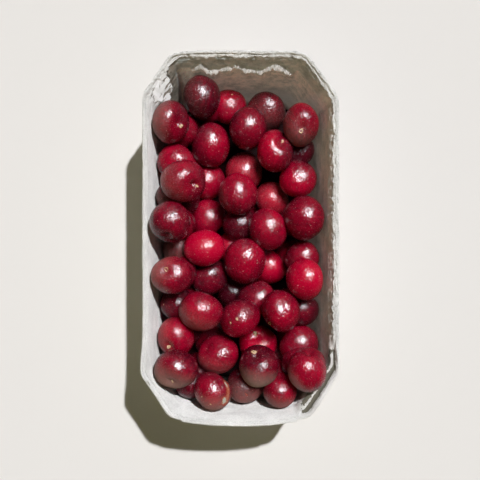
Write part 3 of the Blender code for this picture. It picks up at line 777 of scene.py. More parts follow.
def pulp_shares(points, inner):
    """What the pulp's material needs to know at each point, by name."""
    x, y, z = points.T
    torn, _, grooved, split = edge_masks(x, y)
    # where painted shade marks cracks along the rim, most on the torn edge
    rim = rise(66, 67.5, z) * (0.12 + 0.60 * torn)
    layered_sunlit_patch = inner * corner_patch(x, y, z)
    # painted shade at the bottom of the groove and the split
    painted_groove_shade = (grooved + split) * inner * rise(68.2, 67.6, z) * rise(65.4, 66.0, z)
    # painted_shading is above 0 where painted shade makes the pulp greyer and darker, and below 0
    # where painted light makes it warmer and brighter
    # high end: painted shade above its shelf, painted warm light below it
    high = inner * rise(86, 92, y)
    painted_shading = high * np.clip((z - shelf_line(x)[0] - 0.2 * MM) / (0.9 * MM), -1.0, 1.0)
    painted_shading *= rise(18, 34, z)
    # painted warm light on the shaded right wall and on the left part of the high end
    painted_shading -= 0.6 * inner * rise(46, 50, x) * (1.0 - high)
    painted_shading -= 1.0 * high * rise(-26, -34, x) * rise(62, 56, z)
    # painted shadow beside the sunlit layers of the cut corner
    beside = inner * cut_corner(*patch_place(x, y), 38, 44) * (1.0 - layered_sunlit_patch) * rise(-38, -41, x)
    painted_shading += (2.0 - painted_shading) * beside
    painted_shading *= rise(68.6, 66.8, z)
    return {"rim_crack_shade": rim, "painted_groove_shade": painted_groove_shade, "painted_shading": painted_shading, "layered_sunlit_patch": layered_sunlit_patch}


def pulp_lay(section, crest, rings):
    """Length round the rim and over the section at each point; the last two are the middles."""
    steps = np.linalg.norm(np.diff(crest, axis=0), axis=1)
    around = np.concatenate([[0.0], np.cumsum(steps)])
    runs = [math.dist(near[0], far[0]) for near, far in zip(section, section[1:])]
    over = np.concatenate([[-30 * MM, -15 * MM, 0.0], np.cumsum(runs)])
    over = np.append(over, (over[-1] + 15 * MM, over[-1] + 30 * MM))
    lay = np.zeros((rings * len(crest) + 2, 3))
    lay[:-2, 0] = np.tile(around, rings)
    lay[:-2, 1] = np.repeat(over, len(crest))
    lay[-2:, 1] = (-45 * MM, over[-1] + 15 * MM)
    return lay


def build_punnet(settings, material):
    """Mesh of the whole pulp punnet."""
    section = punnet_rows()
    crest = np.array(outline(0.0, PUNNET_HEIGHT))
    masks = edge_masks(crest[:, 0], crest[:, 1])
    rings = [sum(np.array(outline(inset, height)) * mask[:, None]
                 for (inset, height), mask in zip(places, masks)) for places in section]
    count = len(rings[0])
    level = np.array((1.0, 1.0, 0.0))
    under = [rings[0] * level * s + (0, 0, FOOT_HEIGHT) for s in (0.35, 0.7)]
    inside = [rings[-1] * level * s + (0, 0, FLOOR_HEIGHT) for s in (0.7, 0.35)]
    # the skin faces inward from the top of the rim on
    inner_from = len(under) + next(i for i, places in enumerate(section)
                                   if places[0][0] > 1.2 * MM and places[0][1] > 69.9 * MM)
    rings = under + rings + inside
    points = np.vstack(rings + [np.array([[0, 0, FOOT_HEIGHT], [0, 0, FLOOR_HEIGHT]])])
    bottom = len(points) - 2
    faces = ring_faces(len(rings), count) + closing_faces(bottom - count, count, bottom)
    item = link_mesh("pulp_tray", points, faces, material)
    mesh = item.data
    normals = np.empty(len(points) * 3)
    mesh.vertex_normals.foreach_get("vector", normals)
    normals = normals.reshape(-1, 3)
    inner = np.zeros(len(points))
    inner[inner_from * count:] = 1.0
    inner[bottom] = 0.0
    lay = pulp_lay(section, crest, len(rings))
    skin = PulpSkin(points, normals, inner, lay)
    skin.warp(settings.warp)
    skin.tear_rim(settings.torn_relief)
    skin.add_lumps(settings.pulp_relief)
    skin.slope_corner()
    skin.tear_shelf()
    shaped = points + skin.shift
    shaped[:, 2] = np.maximum(shaped[:, 2], 0.0)
    mesh.vertices.foreach_set("co", shaped.ravel())
    mesh.update()
    for name, values in pulp_shares(points, inner).items():
        set_attribute(mesh, name, values)
    set_attribute(mesh, "pulp_lay", lay)
    return item


# ---------------------------------------------------------------- heap

def eye_point(across, down, height):
    """Point at a height that is seen at a place in the view from above."""
    scale = (EYE_HEIGHT - height) / EYE_STEPS
    return Vector((EYE_SHIFT[0] + (across - EYE_MIDDLE) * scale,
                   EYE_SHIFT[1] + (EYE_MIDDLE - down) * scale, height))


def reach_along(half, direction):
    """Distance from the middle of an egg shape to its skin."""
    total = sum((direction[i] / half[i]) ** 2 for i in range(3))
    return 1.0 / math.sqrt(total)


def meets_wall(centre, half):
    """Whether an egg shape comes too near the inner wall."""
    height = min(centre.z, PUNNET_HEIGHT)
    inset = LIP_OVERHANG + WALL_THICKNESS + CHERRY_CLEARANCE
    planes = wall_planes(inset, height)
    for across, down, offset, flare in planes + corner_sides(planes, inset):
        if down < -0.999:
            offset += end_bow(centre.x, LOW_END_SPAN, height, LOW_END_BOW)
        normal = Vector((across, down, -flare))
        size = normal.length
        normal /= size
        gap = (offset - across * centre.x - down * centre.y) / size
        support = math.sqrt(sum((normal[i] * half[i]) ** 2 for i in range(3)))
        if gap < support:
            return True
    return False


def touches(centre, half, other, share):
    """Whether two egg shapes are nearer than a share of the way that they would just touch."""
    between = centre - other[0]
    distance = between.length
    direction = between / distance
    return distance < share * (reach_along(half, direction) + reach_along(other[1], direction))


def meets_cherry(centre, half, others, share=TOUCH):
    """Whether an egg shape rests on one that is already in the heap."""
    return any(touches(centre, half, other, share) for other in others)


def settle(across, down, width, length, others):
    """Lower a cherry along its line of sight until it rests on something."""
    height = DROP_FROM
    centre = half = None
    while True:
        scale = (EYE_HEIGHT - height) / EYE_STEPS
        new_half = Vector((width / 2 * scale, length / 2 * scale,
                           DEPTH * (width + length) / 4 * scale))
        new_centre = eye_point(across, down, height)
        if new_centre.z - new_half.z < BED_TOP:
            break
        if meets_wall(new_centre, new_half) or meets_cherry(new_centre, new_half, others):
            break
        centre = new_centre
        half = new_half
        height -= DROP_STEP
    return centre, half


def core_height(x, y):
    """Top of the core: gently uneven, and lower towards the high end."""
    dip = CORE_DIP * smooth_step(DIP_START, DIP_END, y)
    return CORE_TOP - dip + CORE_WAVE * math.sin(x * 190.0) * math.cos(y * 150.0)


def is_propped(centre, half, others):
    """Whether a cherry already sits low in the heap or on a lower cherry."""
    if centre.z - half.z < core_height(centre.x, centre.y) - 0.8 * MM:
        return True
    return any((other[0] - centre).z <= -3 * MM and touches(centre, half, other, PROPPED)
               for other in others)


def prop_up(placed):
    """Hidden cherries under those that would otherwise hang at the wall."""
    props = []
    waiting = sorted(placed, key=lambda pair: -pair[0].z)
    while waiting:
        centre, half = waiting.pop(0)
        if is_propped(centre, half, placed + props):
            continue
        size = Vector((PROP_RADIUS, PROP_RADIUS, PROP_RADIUS))
        away = (centre - EYE).normalized()
        spot = centre + away * PROP_TOUCH * (half.z + PROP_RADIUS)
        inward = Vector((-spot.x, -spot.y * RIM_WIDTH / RIM_LENGTH, 0.0)).normalized()
        while meets_wall(spot, size * PROP_MARGIN):
            spot = spot + inward * 0.5 * MM
        props.append((spot, size))
        waiting.append((spot, size))
    return props


def hides_another(spot, radius, placed):
    """Whether a cherry at a spot would stand in front of one that shows."""
    for centre, half in placed:
        to_centre = centre - EYE
        apart = (spot - EYE).angle(to_centre) * to_centre.length
        if apart < 0.98 * (radius + max(half.x, half.y)) and spot.z + 5 * MM > centre.z:
            return True
    return False


def fill_below(placed, chance):
    """Cherries that fill the punnet under those that show."""
    lowest = FLOOR_HEIGHT + 0.4 * MM
    filling = []
    for level, height in enumerate(FILL_LEVELS):
        for row, y in enumerate(np.arange(*FILL_ALONG)):
            start, end, pitch = FILL_ACROSS
            for x in np.arange(start + (row + level) % 2 * FILL_STAGGER, end, pitch):
                radius = chance.uniform(*FILL_RADIUS) * MM
                spot = Vector([(place + chance.uniform(-slack, slack)) * MM
                               for place, slack in zip((x, y, height), FILL_SLACK)])
                half = Vector((radius, radius, radius * DEPTH))
                spot.z = max(spot.z, half.z + lowest)
                if (meets_wall(spot, half) or meets_cherry(spot, half, placed, TOUCH_SHOWN)
                        or meets_cherry(spot, half, filling, TOUCH_BELOW)
                        or (height > HIDDEN_BELOW and hides_another(spot, radius, placed))):
                    continue
                filling.append((spot, half))
    return filling


def any_direction(chance):
    """Random unit vector."""
    return Vector((chance.gauss(0, 1), chance.gauss(0, 1), chance.gauss(0, 1))).normalized()


def cherry_points(rings, sides, chance, shoulder, hollow):
    """Unit cherry, stalk end up, as points, faces and each point's own place."""
    share = np.linspace(0.0, 1.0, rings + 1)
    polar = math.pi * share ** 1.08
    turn = np.linspace(0.0, math.tau, sides, endpoint=False)
    grid_polar, grid_turn = np.meshgrid(polar[1:-1], turn, indexing="ij")
    polar_all = np.concatenate([[0.0], grid_polar.ravel(), [math.pi]])
    turn_all = np.concatenate([[0.0], grid_turn.ravel(), [0.0]])
    direction = np.stack([np.sin(polar_all) * np.cos(turn_all),
                          np.sin(polar_all) * np.sin(turn_all),
                          np.cos(polar_all)], axis=1)
    away = np.minimum(np.abs(turn_all), math.tau - np.abs(turn_all))
    radius = np.ones(len(polar_all))
    # hollow round the stalk, steep inside and wide outside
    radius -= hollow * np.exp(-(polar_all / 0.30) ** 1.6)
    radius -= 0.45 * hollow * np.exp(-(polar_all / 0.62) ** 2)
    # shoulders, the seam down one side, and the dimpled tip
    ridge = np.exp(-((polar_all - 0.75) / 0.45) ** 2)
    radius += 0.045 * shoulder * ridge * (1.0 - np.cos(2.0 * turn_all)) * 0.5
    radius -= 0.035 * shoulder * np.exp(-(away / 0.45) ** 2) * ridge
    radius -= 0.014 * np.exp(-(away / 0.13) ** 2) * np.sin(polar_all) ** 1.5
    radius -= 0.030 * np.exp(-((math.pi - polar_all) / 0.15) ** 2)
    radius += 0.015 * np.exp(-((math.pi - polar_all) / 0.6) ** 2)
    # slow and quick waves of its own: how many, lowest and highest pitch, size
    for waves, slowest, quickest, size in ((6, 1.2, 3.0, 0.011), (3, 3.5, 6.5, 0.0035)):
        for _ in range(waves):
            lobe = any_direction(chance)
            pitch = chance.uniform(slowest, quickest)
            phase = chance.uniform(0.0, math.tau)
            radius += size * np.cos(pitch * (direction @ np.array(lobe)) * 1.6 + phase)
    points = direction * radius[:, None] * np.array([1.0, 1.0, FLATNESS])
    faces = []
    last = len(points) - 1
    for i in range(sides):
        j = (i + 1) % sides
        faces.append((0, 1 + i, 1 + j))
        for row in range(rings - 2):
            a = 1 + row * sides
            faces.append((a + i, a + sides + i, a + sides + j, a + j))
        base = 1 + (rings - 2) * sides
        faces.append((base + j, base + i, last))
    return points, faces, direction


def view_direction(entry, place, limit=0.98):
    """Unit direction from a cherry's middle to a place on it in the view."""
    across, down, width, length = entry[1:5]
    side = Vector((2.0 * (place[0] - across) / width, 2.0 * (down - place[1]) / length))
    if side.length > limit:
        side *= limit / side.length
    return np.array((side.x, side.y, math.sqrt(1.0 - side.length_squared)))


def stalk_direction(entry, scar, chance):
    """Which way a cherry's stalk end points: to its scar, or down and out of sight."""
    if scar:
        return Vector(view_direction(entry, scar, 0.97)).normalized()
    angle = chance.uniform(0.0, math.tau)
    return Vector((math.cos(angle), math.sin(angle), chance.uniform(-0.7, -0.1))).normalized()


def line_distance(points, start, end):
    """Distance of each point from the line between two others."""
    line = end - start
    share = np.clip((points - start) @ line / (line @ line), 0.0, 1.0)
    return np.linalg.norm(points - start - share[:, None] * line, axis=1)


def press_marks(points, marks):
    """Press dents, rings and grooves into a cherry of unit size."""
    for kind, start, end, reach, depth in marks:
        own = points / np.linalg.norm(points, axis=1)[:, None]
        if kind == "groove":
            away = line_distance(own, start, end)
        else:
            away = np.linalg.norm(own - start, axis=1)
        if kind == "ring":
            press = np.exp(-((away - reach) / (0.35 * reach)) ** 2)
        else:
            press = np.exp(-(away / reach) ** 2)
        points = points * (1.0 - depth * press)[:, None]
    return points


class HeapMesh:
    """Collects cherries into one mesh with what their skin needs to know."""

    def __init__(self):
        self.points = []
        self.faces = []
        self.values = {"skin_place": [], "skin_streak": [], "ripeness": [], "damage": [],
                       "bloom_and_wall_sheen": []}

    def add(self, centre, half, stalk, form, ripeness, chance, slope_and_flank_shade=PLAIN_SLOPE_AND_FLANK_SHADE,
            bloom_and_wall_sheen=PLAIN_BLOOM_AND_WALL_SHEEN, marks=(), wounds=()):
        """Add one cherry; form is rings, sides, shoulder and hollow."""
        rings, sides, shoulder, hollow = form
        points, faces, own = cherry_points(rings, sides, chance, shoulder, hollow)
        lay = Vector((0.0, 0.0, 1.0)).rotation_difference(stalk)
        spin = Quaternion(stalk, chance.uniform(0.0, math.tau))
        turn = np.array((spin @ lay).to_matrix())
        points = points @ turn.T
        low = points.min(axis=0)
        high = points.max(axis=0)
        points = (2.0 * points - low - high) / (high - low)
        own_place = points / np.linalg.norm(points, axis=1)[:, None]
        damage = np.zeros(len(points))
        for start, end, reach, strength in wounds:
            away = line_distance(own_place, start, end)
            damage = np.maximum(damage, strength * np.exp(-(away / reach) ** 2))
        self.values["damage"].append(damage)
        points = press_marks(points, marks) * np.array(half) + np.array(centre)
        start = sum(len(part) for part in self.points)
        self.points.append(points)
        self.faces.extend(tuple(index + start for index in face) for face in faces)
        shift = np.array([chance.uniform(-40, 40) for _ in range(3)])
        self.values["skin_place"].append(own + shift)
        across = np.maximum(np.hypot(own[:, 0], own[:, 1]), 1e-4)[:, None]
        polar = np.arccos(np.clip(own[:, 2:3], -1.0, 1.0))
        self.values["skin_streak"].append(np.hstack([own[:, :2] / across, 0.35 * polar]) + shift)
        # painted shade: the skin is made darker round the flanks, where less light falls on it
        flank_shade = 0.6 - np.clip(own_place[:, 2], 0.0, 1.0) ** 2
        self.values["ripeness"].append(ripeness + own_place[:, 0] * slope_and_flank_shade[0]
                                       + own_place[:, 1] * slope_and_flank_shade[1] - flank_shade * slope_and_flank_shade[2])
        # bloom share, which also paints in the reflection of the sunlit pulp wall
        self.values["bloom_and_wall_sheen"].append(np.clip(bloom_and_wall_sheen[0] + own_place[:, 0] * bloom_and_wall_sheen[1]
                                            + own_place[:, 1] * bloom_and_wall_sheen[2], 0.0, 1.0))

    def finish(self, name, material):
        """Make the object."""
        item = link_mesh(name, np.vstack(self.points), self.faces, material)
        for attribute, parts in self.values.items():
            set_attribute(item.data, attribute, np.concatenate(parts))
        return item


def build_heap(settings, material):
    """The cherries that show and those below them, as two pieces."""
    chance = random.Random(11)
    placed = []
    for entry in CHERRIES:
        placed.append(settle(*entry[1:5], placed))
    props = prop_up(placed)
    filling = fill_below(placed + props, chance)
    shown = HeapMesh()
    for entry, (centre, half) in zip(CHERRIES, placed):
        name = entry[0]
        scar, shoulder, hollow = STALK_ENDS.get(name, PLAIN_STALK_END)
        stalk = stalk_direction(entry, scar, chance)
        form = (settings.rings, settings.sides, shoulder, hollow)
        marks = [(kind, view_direction(entry, start), end and view_direction(entry, end),
                  reach, depth) for kind, start, end, reach, depth in MARKS.get(name, ())]
        wounds = [(view_direction(entry, start), view_direction(entry, end), reach, strength)
                  for start, end, reach, strength in WOUNDS.get(name, ())]
        shown.add(centre, half, stalk, form, entry[5], chance, RIPENESS_SLOPE_AND_FLANK_SHADE.get(name, PLAIN_SLOPE_AND_FLANK_SHADE),
                  BLOOM_AND_WALL_SHEEN.get(name, PLAIN_BLOOM_AND_WALL_SHEEN), marks, wounds)
    below = HeapMesh()
    for centre, half in props + filling:
        stalk = any_direction(chance)
        below.add(centre, half, stalk, BELOW_FORM, chance.uniform(0.05, 0.6), chance)
    return shown.finish("cherries", material), below.finish("cherries_below", material)


def build_core(material):
    """Lumpy body that closes the heap below the loose cherries, dark with painted shade."""
    inner = LIP_OVERHANG + WALL_THICKNESS + 0.5 * MM
    floor = FLOOR_HEIGHT + 0.5 * MM
    section = (
        (inner + FLOOR_ROUND + 0.5 * MM, floor),
        (inner + 0.36 * FLOOR_ROUND, floor + 0.25 * FLOOR_ROUND),
        (inner + 0.14 * FLOOR_ROUND, floor + 0.62 * FLOOR_ROUND),
        (inner + 0.8 * MM, floor + 12.5 * MM),
        (inner + 3.5 * MM, floor + 15.0 * MM),
    )
    rings = [outline(inset, height)[::4] for inset, height in section]
    count = len(rings[0])
    edge = rings[-1]
    for share in np.linspace(0.94, 0.06, 15):
        pitch = share * CORE_LUMP_PITCH
        rings.append([(x * share, y * share,
                       z + CORE_LUMP * math.sin(x * pitch) * math.sin(y * pitch))
                      for x, y, z in edge])
    points = [(x, y, z - (z - floor) * 0.7 * smooth_step(DIP_START, DIP_END, y))
              for ring in rings for x, y, z in ring]
    bottom = len(points)
    points += [(0, 0, floor), (0, 0, floor + 15.0 * MM)]
    faces = ring_faces(len(rings), count) + closing_faces(bottom - count, count, bottom)
    return link_mesh("cherry_core", points, faces, material)


# ---------------------------------------------------------------- scars

def build_scars(cherries, material):
    """Small dry scars where stalks came off, set on the cherries that show."""
    tree = BVHTree.FromObject(cherries, bpy.context.evaluated_depsgraph_get())
    chance = random.Random(5)
    points = []
    faces = []
    shade = []
    sides = SCAR_SIDES
    for across, down, size, kind in SCARS:
        radius = size * MM
        aim = (eye_point(across, down, 60 * MM) - EYE).normalized()
        hit, normal, _, _ = tree.ray_cast(EYE, aim)
        if hit is None:
            raise RuntimeError("a stalk scar misses the cherries")
        lay = Vector((0.0, 0.0, 1.0)).rotation_difference(normal).to_matrix()
        stretch = chance.uniform(0.85, 1.15)
        section = SCAR_SECTIONS[kind]
        start = len(points)
        for row, (reach, rise) in enumerate(section):
            for side in range(sides):
                angle = math.tau * side / sides
                wobble = (1.0 + 0.16 * math.sin(2 * angle + across)
                          + 0.12 * math.sin(3 * angle + down) + chance.uniform(-0.06, 0.06))
                lift = 0.12 * math.sin(2 * angle + down) + chance.uniform(-0.06, 0.06)
                local = Vector((reach * radius * wobble * math.cos(angle) * stretch,
                                reach * radius * wobble * math.sin(angle) / stretch,
                                (rise + (lift if rise > 0 else 0.0)) * radius))
                points.append(hit + lay @ local)
                shade.append(row / len(section))
        points.append(hit + lay @ Vector((0, 0, section[-1][1] * radius)))
        shade.append(1.0)
        hub = len(points) - 1
        faces += ring_faces(len(section), sides, start)
        base = start + (len(section) - 1) * sides
        for i in range(sides):
            faces.append((base + i, base + (i + 1) % sides, hub))
    item = link_mesh("stalk_scars", points, faces, material)
    set_attribute(item.data, "to_middle", shade)
    return item


# ---------------------------------------------------------------- materials

def pulp_material(settings):
    """Dry grey-white pulp with fibres, layers and a torn, cracked rim, with painted shade and light."""
    material, nodes, shader = new_material("moulded_pulp")
    place = nodes.add("TexCoord").outputs["Object"]
    lay = nodes.attribute("pulp_lay", "Vector")
    painted_shading = nodes.attribute("painted_shading")
    layered_sunlit_patch = nodes.attribute("layered_sunlit_patch")

    def drawn_out(share):
        """Place on the wall, with what follows drawn out along the rim."""
        node = nodes.feed(nodes.add("Mapping"), Vector=lay, Scale=(share, 1.0, 1.0))
        return node.outputs["Vector"]

    base = settings.pulp_colour
    colour = nodes.ramp(nodes.noise(place, 55.0, 4.0, 0.6), (0.30, tuple(c * 0.92 for c in base)),
                        (0.70, tuple(min(1.0, c * 1.05) for c in base)))
    flecks = nodes.ramp(nodes.noise(place, 1500.0, 3.0, 0.6), (0.30, 0.86), (0.50, 1.0),
                        (0.75, 1.04))
    colour = nodes.times(colour, flecks)
    layers = nodes.ramp(nodes.noise(drawn_out(0.30), 210.0, 5.0, 0.62),
                        (0.34, (0.86, 0.855, 0.85)), (0.52, 0.98), (0.68, (1.05, 1.045, 1.04)))
    colour = nodes.times(colour, layers, 0.8)
    # painted shade and light inside: greyer above the high end's shelf and dark beside the cut
    # corner, warmer and brighter below the shelf and on the right wall; streaked where it lies
    streaks = nodes.ramp(nodes.noise(drawn_out(0.8), 150.0, 7.0, 0.75),
                         (0.39, (0.68, 0.70, 0.68)), (0.50, (0.97, 0.96, 0.94)),
                         (0.61, (1.22, 1.12, 1.08)))
    colour = nodes.mix(nodes.math("ABSOLUTE", painted_shading, clamp=True), colour,
                       nodes.times(colour, streaks))
    painted_tint = nodes.ramp(nodes.math("MULTIPLY_ADD", painted_shading, 0.25, 0.5),
                      (0.0, (1.32, 1.26, 1.20)), (0.25, (1.12, 1.06, 1.04)), (0.5, 1.0),
                      (0.75, (0.80, 0.82, 0.82)), (1.0, (0.46, 0.42, 0.36)))
    colour = nodes.times(colour, painted_tint)
    # painted shade in thin cracks along the torn rim
    line = nodes.math("SUBTRACT", nodes.noise(drawn_out(0.22), 1300.0, 3.0, 0.55), 0.47)
    crack_shade = nodes.ramp(nodes.math("ABSOLUTE", line), (0.010, 1.0), (0.040, 0.0))
    some = nodes.ramp(nodes.noise(place, 260.0, 2.0, 0.6), (0.50, 0.0), (0.60, 1.0))
    share = nodes.math("MULTIPLY", nodes.attribute("rim_crack_shade"), nodes.times(crack_shade, some))
    colour = nodes.mix(share, colour, (0.22, 0.20, 0.165))
    # painted light whitens the sunlit layers on the cut corner, and painted shade darkens the
    # gaps between them
    colour = nodes.mix(nodes.math("MULTIPLY", layered_sunlit_patch, 0.7), colour, (0.96, 0.95, 0.93))
    gap = nodes.ramp(nodes.noise(drawn_out(0.12), 780.0, 4.0, 0.62), (0.410, 1.0), (0.460, 0.0))
    sunk_and_shaded_gaps = nodes.math("MULTIPLY", layered_sunlit_patch, gap)
    colour = nodes.mix(sunk_and_shaded_gaps, colour, (0.27, 0.235, 0.19))
    # painted shade in the ragged bottom of the groove and the split
    ragged = nodes.math("ADD", nodes.noise(place, 650.0, 4.0, 0.6), nodes.attribute("painted_groove_shade"))
    colour = nodes.mix(nodes.ramp(ragged, (0.93, 0.0), (1.0, 1.0)), colour, (0.17, 0.155, 0.115))
    grain = nodes.math("MULTIPLY_ADD", nodes.noise(place, 1200.0, 4.0, 0.65), 0.9,
                       nodes.noise(drawn_out(0.45), 330.0, 4.0, 0.6))
    nodes.feed(shader, Base_Color=colour, Roughness=0.95, Diffuse_Roughness=0.5,
               Specular_IOR_Level=0.15,
               Normal=nodes.bump(nodes.math("SUBTRACT", grain, sunk_and_shaded_gaps), 0.8, 0.0009))
    return material


def cherry_material(settings):
    """Waxy cherry skin, from crimson to maroon, with pale pores."""
    material, nodes, shader = new_material("cherry_skin")
    skin = nodes.attribute("skin_place", "Vector")
    streak = nodes.noise(nodes.attribute("skin_streak", "Vector"), 6.0, 4.0, 0.6)
    # ripeness, with its painted shade round the flanks, plus slow and fine mottling picks the colour
    level = nodes.attribute("ripeness")
    for cloud, amount in ((nodes.noise(skin, 1.1, 3.0), 0.70),
                          (nodes.noise(skin, 11.0, 5.0, 0.65), 0.95), (streak, 0.80)):
        level = nodes.math("MULTIPLY_ADD", nodes.math("SUBTRACT", cloud, 0.5), amount, level)
    dark = tuple(settings.dark)
    bright = tuple(settings.bright)
    middle = tuple(0.58 * d + 0.42 * b for d, b in zip(dark, bright))
    colour = nodes.ramp(level, (0.0, dark), (0.5, middle), (1.0, bright))
    # pores: pale dots of two sizes, in some of the cells
    dots = []
    for scale, least, stops in ((5.5, 0.46, ((0.070, 1.0), (0.115, 0.0))),
                                (11.0, 0.68, ((0.10, 0.9), (0.15, 0.0)))):
        distance, own = nodes.cells(skin, scale)
        dots.append(nodes.math("MULTIPLY", nodes.math("GREATER_THAN", own, least),
                               nodes.ramp(distance, *stops)))
    share = nodes.math("MULTIPLY", nodes.math("MAXIMUM", *dots), 0.85)
    colour = nodes.mix(share, colour, (0.80, 0.44, 0.36))
    # dull brown bloom where the skin is rubbed or dusty, which also paints in the reflection of
    # the sunlit pulp wall on flanks that face it
    bloom_and_wall_sheen = nodes.attribute("bloom_and_wall_sheen")
    colour = nodes.mix(bloom_and_wall_sheen, colour, (0.38, 0.23, 0.175))
    # healed wound: corky edge round dry flesh
    hurt = nodes.attribute("damage")
    torn = nodes.math("MULTIPLY_ADD", nodes.noise(skin, 9.0, 4.0, 0.65), 0.7, -0.35)
    worn = nodes.math("ADD", torn, hurt, clamp=True)
    flesh = nodes.ramp(worn, (0.40, (0.20, 0.020, 0.015)), (0.55, (0.42, 0.06, 0.03)),
                       (0.74, (0.50, 0.19, 0.11)), (0.84, (0.55, 0.54, 0.44)))
    share = nodes.math("MULTIPLY", nodes.ramp(worn, (0.38, 0.0), (0.46, 1.0)),
                       nodes.math("GREATER_THAN", hurt, 0.12))
    colour = nodes.mix(share, colour, flesh)
    # wax: its gloss changes from spot to spot and goes under the bloom
    spots = nodes.feed(nodes.add("MapRange"), Value=nodes.noise(skin, 15.0, 1.0), From_Min=0.42,
                       From_Max=0.62, To_Min=0.13, To_Max=0.28)
    gloss = nodes.math("ADD", bloom_and_wall_sheen, spots.outputs["Result"])
    # leathery skin: tiny domes between pores, and slow wrinkles
    distance, own = nodes.cells(skin, 12.0)
    relief = nodes.math("MULTIPLY", nodes.noise(skin, 10.0, 0.0), 0.9)
    relief = nodes.math("MULTIPLY_ADD", nodes.noise(skin, 5.0, 2.0, 0.6), 1.3, relief)
    relief = nodes.math("MULTIPLY_ADD", streak, 0.7, relief)
    relief = nodes.math("MULTIPLY_ADD", nodes.math("POWER", distance, 2.0),
                        nodes.math("MULTIPLY_ADD", own, -2.1, -0.4), relief)
    normal = nodes.bump(relief, 1.0, 0.0001)
    nodes.feed(shader, Base_Color=colour, Roughness=0.27, IOR=1.6, Specular_IOR_Level=0.0,
               Coat_Weight=1.0, Coat_Roughness=gloss, Coat_IOR=1.42, Normal=normal,
               Coat_Normal=normal)
    return material


def scar_material():
    """Dry cream and tan scar."""
    material, nodes, shader = new_material("stalk_scar")
    grain = nodes.noise(nodes.add("TexCoord").outputs["Object"], 900.0, 4.0)
    middle = nodes.math("SUBTRACT", nodes.attribute("to_middle"), 0.40)
    colour = nodes.ramp(nodes.math("MULTIPLY_ADD", grain, 0.9, middle),
                        (0.15, (0.30, 0.03, 0.02)), (0.38, (0.60, 0.33, 0.14)),
                        (0.62, (0.80, 0.62, 0.38)), (1.0, (0.36, 0.20, 0.09)))
    nodes.feed(shader, Base_Color=colour, Roughness=0.6)
    return material


def core_material():
    """Dull dark skins deep in the heap, where no single cherry can be told, painted darker than any
    cherry as the shade between them.
    """
    material, nodes, shader = new_material("heap_depths_painted_shade")
    distance, _ = nodes.cells(nodes.add("TexCoord").outputs["Object"], 48.0)
    colour = nodes.ramp(distance, (0.15, (0.060, 0.007, 0.009)), (0.60, (0.016, 0.003, 0.004)))
    nodes.feed(shader, Base_Color=colour, Roughness=0.9, Specular_IOR_Level=0.1,
               Normal=nodes.bump(distance, 0.5, 0.002))
    return material


def floor_material(settings):
    """Matt pale paper."""
    material, nodes, shader = new_material("pale_floor")
    nodes.feed(shader, Base_Color=tuple(settings.floor_colour), Roughness=1.0,
               Specular_IOR_Level=0.0)
    return material


# ---------------------------------------------------------------- stage

def add_sun(name, strength, size, colour, toward, reached=()):
    """Sun in a direction; reached names the objects that it lights, and is empty for all."""
    light = bpy.data.lights.new(name, "SUN")
    light.energy = strength
    light.angle = size
    light.color = colour
    lamp = bpy.data.objects.new(name, light)
    lamp.rotation_euler = toward.to_track_quat("Z", "Y").to_euler()
    lamp.location = toward
    bpy.context.scene.collection.objects.link(lamp)
    if reached:
        lit = bpy.data.collections.new("lit_by_" + name)
        for item in reached:
            lit.objects.link(bpy.data.objects[item])
        lamp.light_linking.receiver_collection = lit
    return lamp


def add_lights(settings):
    """Hard key light that is soft among the cherries, with its highlights, and a soft fill."""
    slant = settings.key_height
    turn = settings.key_turn
    toward = Vector((math.sin(slant) * math.cos(turn), math.sin(slant) * math.sin(turn),
                     math.cos(slant)))
    for name, size, reached in (
            ("key", settings.key_size, ("pulp_tray", "floor")),
            ("key_among", settings.key_blur,
             ("cherries", "cherries_below", "cherry_core", "stalk_scars"))):
        lamp = add_sun(name, settings.key_strength, size, KEY_COLOUR, toward, reached)
        lamp.visible_glossy = False
    for name, width in (("shine", 1.0), ("shine_edge", SHINE_EDGE)):
        lamp = add_sun(name, settings.shine_strength / 2, settings.shine_size * width,
                       SHINE_COLOUR, toward)
        lamp.visible_diffuse = False
    fill = add_sun("fill", settings.fill_strength, FILL_SIZE, FILL_COLOUR, FILL_SIDE,
                   ("pulp_tray",))
    fill.data.use_shadow = False


def make_world(settings):
    """Soft light from low on one side; glossy skins see little of it."""
    world = bpy.data.worlds.new("soft_room")
    bpy.context.scene.world = world
    world.use_nodes = True
    nodes = Nodes(world.node_tree)
    aim = nodes.add("TexCoord").outputs["Generated"]
    toward = nodes.add("VectorMath", operation="DOT_PRODUCT")
    nodes.tree.links.new(aim, toward.inputs[0])
    toward.inputs[1].default_value = SOFT_SIDE
    share = nodes.math("ADD", toward.outputs["Value"], -SOFT_SIDE[2], clamp=True)
    sky = nodes.ramp(share, (0.0, tuple(settings.high_sky)), (1.0, tuple(settings.low_sky)))
    path = nodes.add("LightPath")
    nodes.feed(world.node_tree.nodes["Background"],
               Color=nodes.mix(path.outputs["Is Camera Ray"], sky, BACKDROP),
               Strength=nodes.math("MULTIPLY_ADD", path.outputs["Is Glossy Ray"],
                                   GLOSSY_SKY - 1.0, 1.0))


def add_camera():
    """Camera straight above the punnet."""
    lens = bpy.data.cameras.new("camera")
    lens.sensor_width = SENSOR
    lens.lens = EYE_STEPS / (2 * EYE_MIDDLE) * SENSOR
    lens.clip_start = 0.01
    camera = bpy.data.objects.new("camera", lens)
    camera.location = EYE
    bpy.context.scene.collection.objects.link(camera)
    bpy.context.scene.camera = camera


# ---------------------------------------------------------------- operators

class PUNNET_OT_tray(Operator):
    """Make the moulded pulp punnet"""
    bl_idname = "punnet.tray"
    bl_label = "Pulp punnet"

    def execute(self, context):
        settings = context.scene.punnet_settings
        item = build_punnet(settings, pulp_material(settings))
        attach(item, "root")
        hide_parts("punnet")
        return {"FINISHED"}


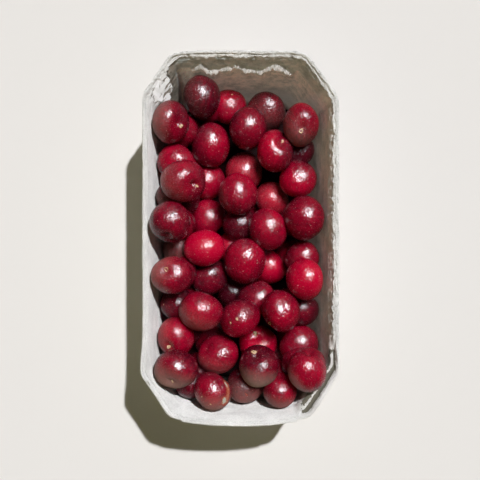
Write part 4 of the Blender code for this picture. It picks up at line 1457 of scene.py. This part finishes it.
class PUNNET_OT_cherries(Operator):
    """Make the heap of cherries, its core and the stalk scars"""
    bl_idname = "punnet.cherries"
    bl_label = "Cherries"

    def execute(self, context):
        settings = context.scene.cherry_settings
        skin = cherry_material(settings)
        shown, below = build_heap(settings, skin)
        core = build_core(core_material())
        scars = build_scars(shown, scar_material())
        for item in (shown, below, core, scars):
            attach(item, "root")
            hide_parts("cherry_heap")
        return {"FINISHED"}


class PUNNET_OT_stage(Operator):
    """Make the floor, the lights and the camera"""
    bl_idname = "punnet.stage"
    bl_label = "Floor, light and camera"

    def execute(self, context):
        settings = context.scene.stage_settings
        size = FLOOR_SIZE
        corners = [(-size, -size, FLOOR_LEVEL), (size, -size, FLOOR_LEVEL),
                   (size, size, FLOOR_LEVEL), (-size, size, FLOOR_LEVEL)]
        floor = link_mesh("floor", corners, [(0, 1, 2, 3)], floor_material(settings),
                          smooth=False)
        add_lights(settings)
        make_world(settings)
        add_camera()
        context.scene.view_settings.view_transform = "Standard"
        return {"FINISHED"}


class PUNNET_PT_panel(Panel):
    """Lists the pieces of the punnet"""
    bl_idname = "PUNNET_PT_panel"
    bl_label = "Punnet of cherries"
    bl_space_type = "VIEW_3D"
    bl_region_type = "UI"
    bl_category = "Punnet"

    def draw(self, context):
        layout = self.layout
        for group in ("punnet_settings", "cherry_settings", "stage_settings"):
            settings = getattr(context.scene, group)
            box = layout.box()
            for name in settings.__annotations__:
                box.prop(settings, name)
        for kind in (PUNNET_OT_tray, PUNNET_OT_cherries, PUNNET_OT_stage):
            layout.operator(kind.bl_idname)


CLASSES = (PunnetSettings, CherrySettings, StageSettings, PUNNET_OT_tray,
           PUNNET_OT_cherries, PUNNET_OT_stage, PUNNET_PT_panel)


def register():
    """Register the classes and the settings."""
    for kind in CLASSES:
        bpy.utils.register_class(kind)
    bpy.types.Scene.punnet_settings = PointerProperty(type=PunnetSettings)
    bpy.types.Scene.cherry_settings = PointerProperty(type=CherrySettings)
    bpy.types.Scene.stage_settings = PointerProperty(type=StageSettings)


def unregister():
    """Remove the settings and the classes."""
    del bpy.types.Scene.stage_settings
    del bpy.types.Scene.cherry_settings
    del bpy.types.Scene.punnet_settings
    for kind in reversed(CLASSES):
        bpy.utils.unregister_class(kind)


def main():
    """Build the scene."""
    register()
    bpy.ops.punnet.tray()
    bpy.ops.punnet.cherries()
    bpy.ops.punnet.stage()


if __name__ == "__main__":
    main()
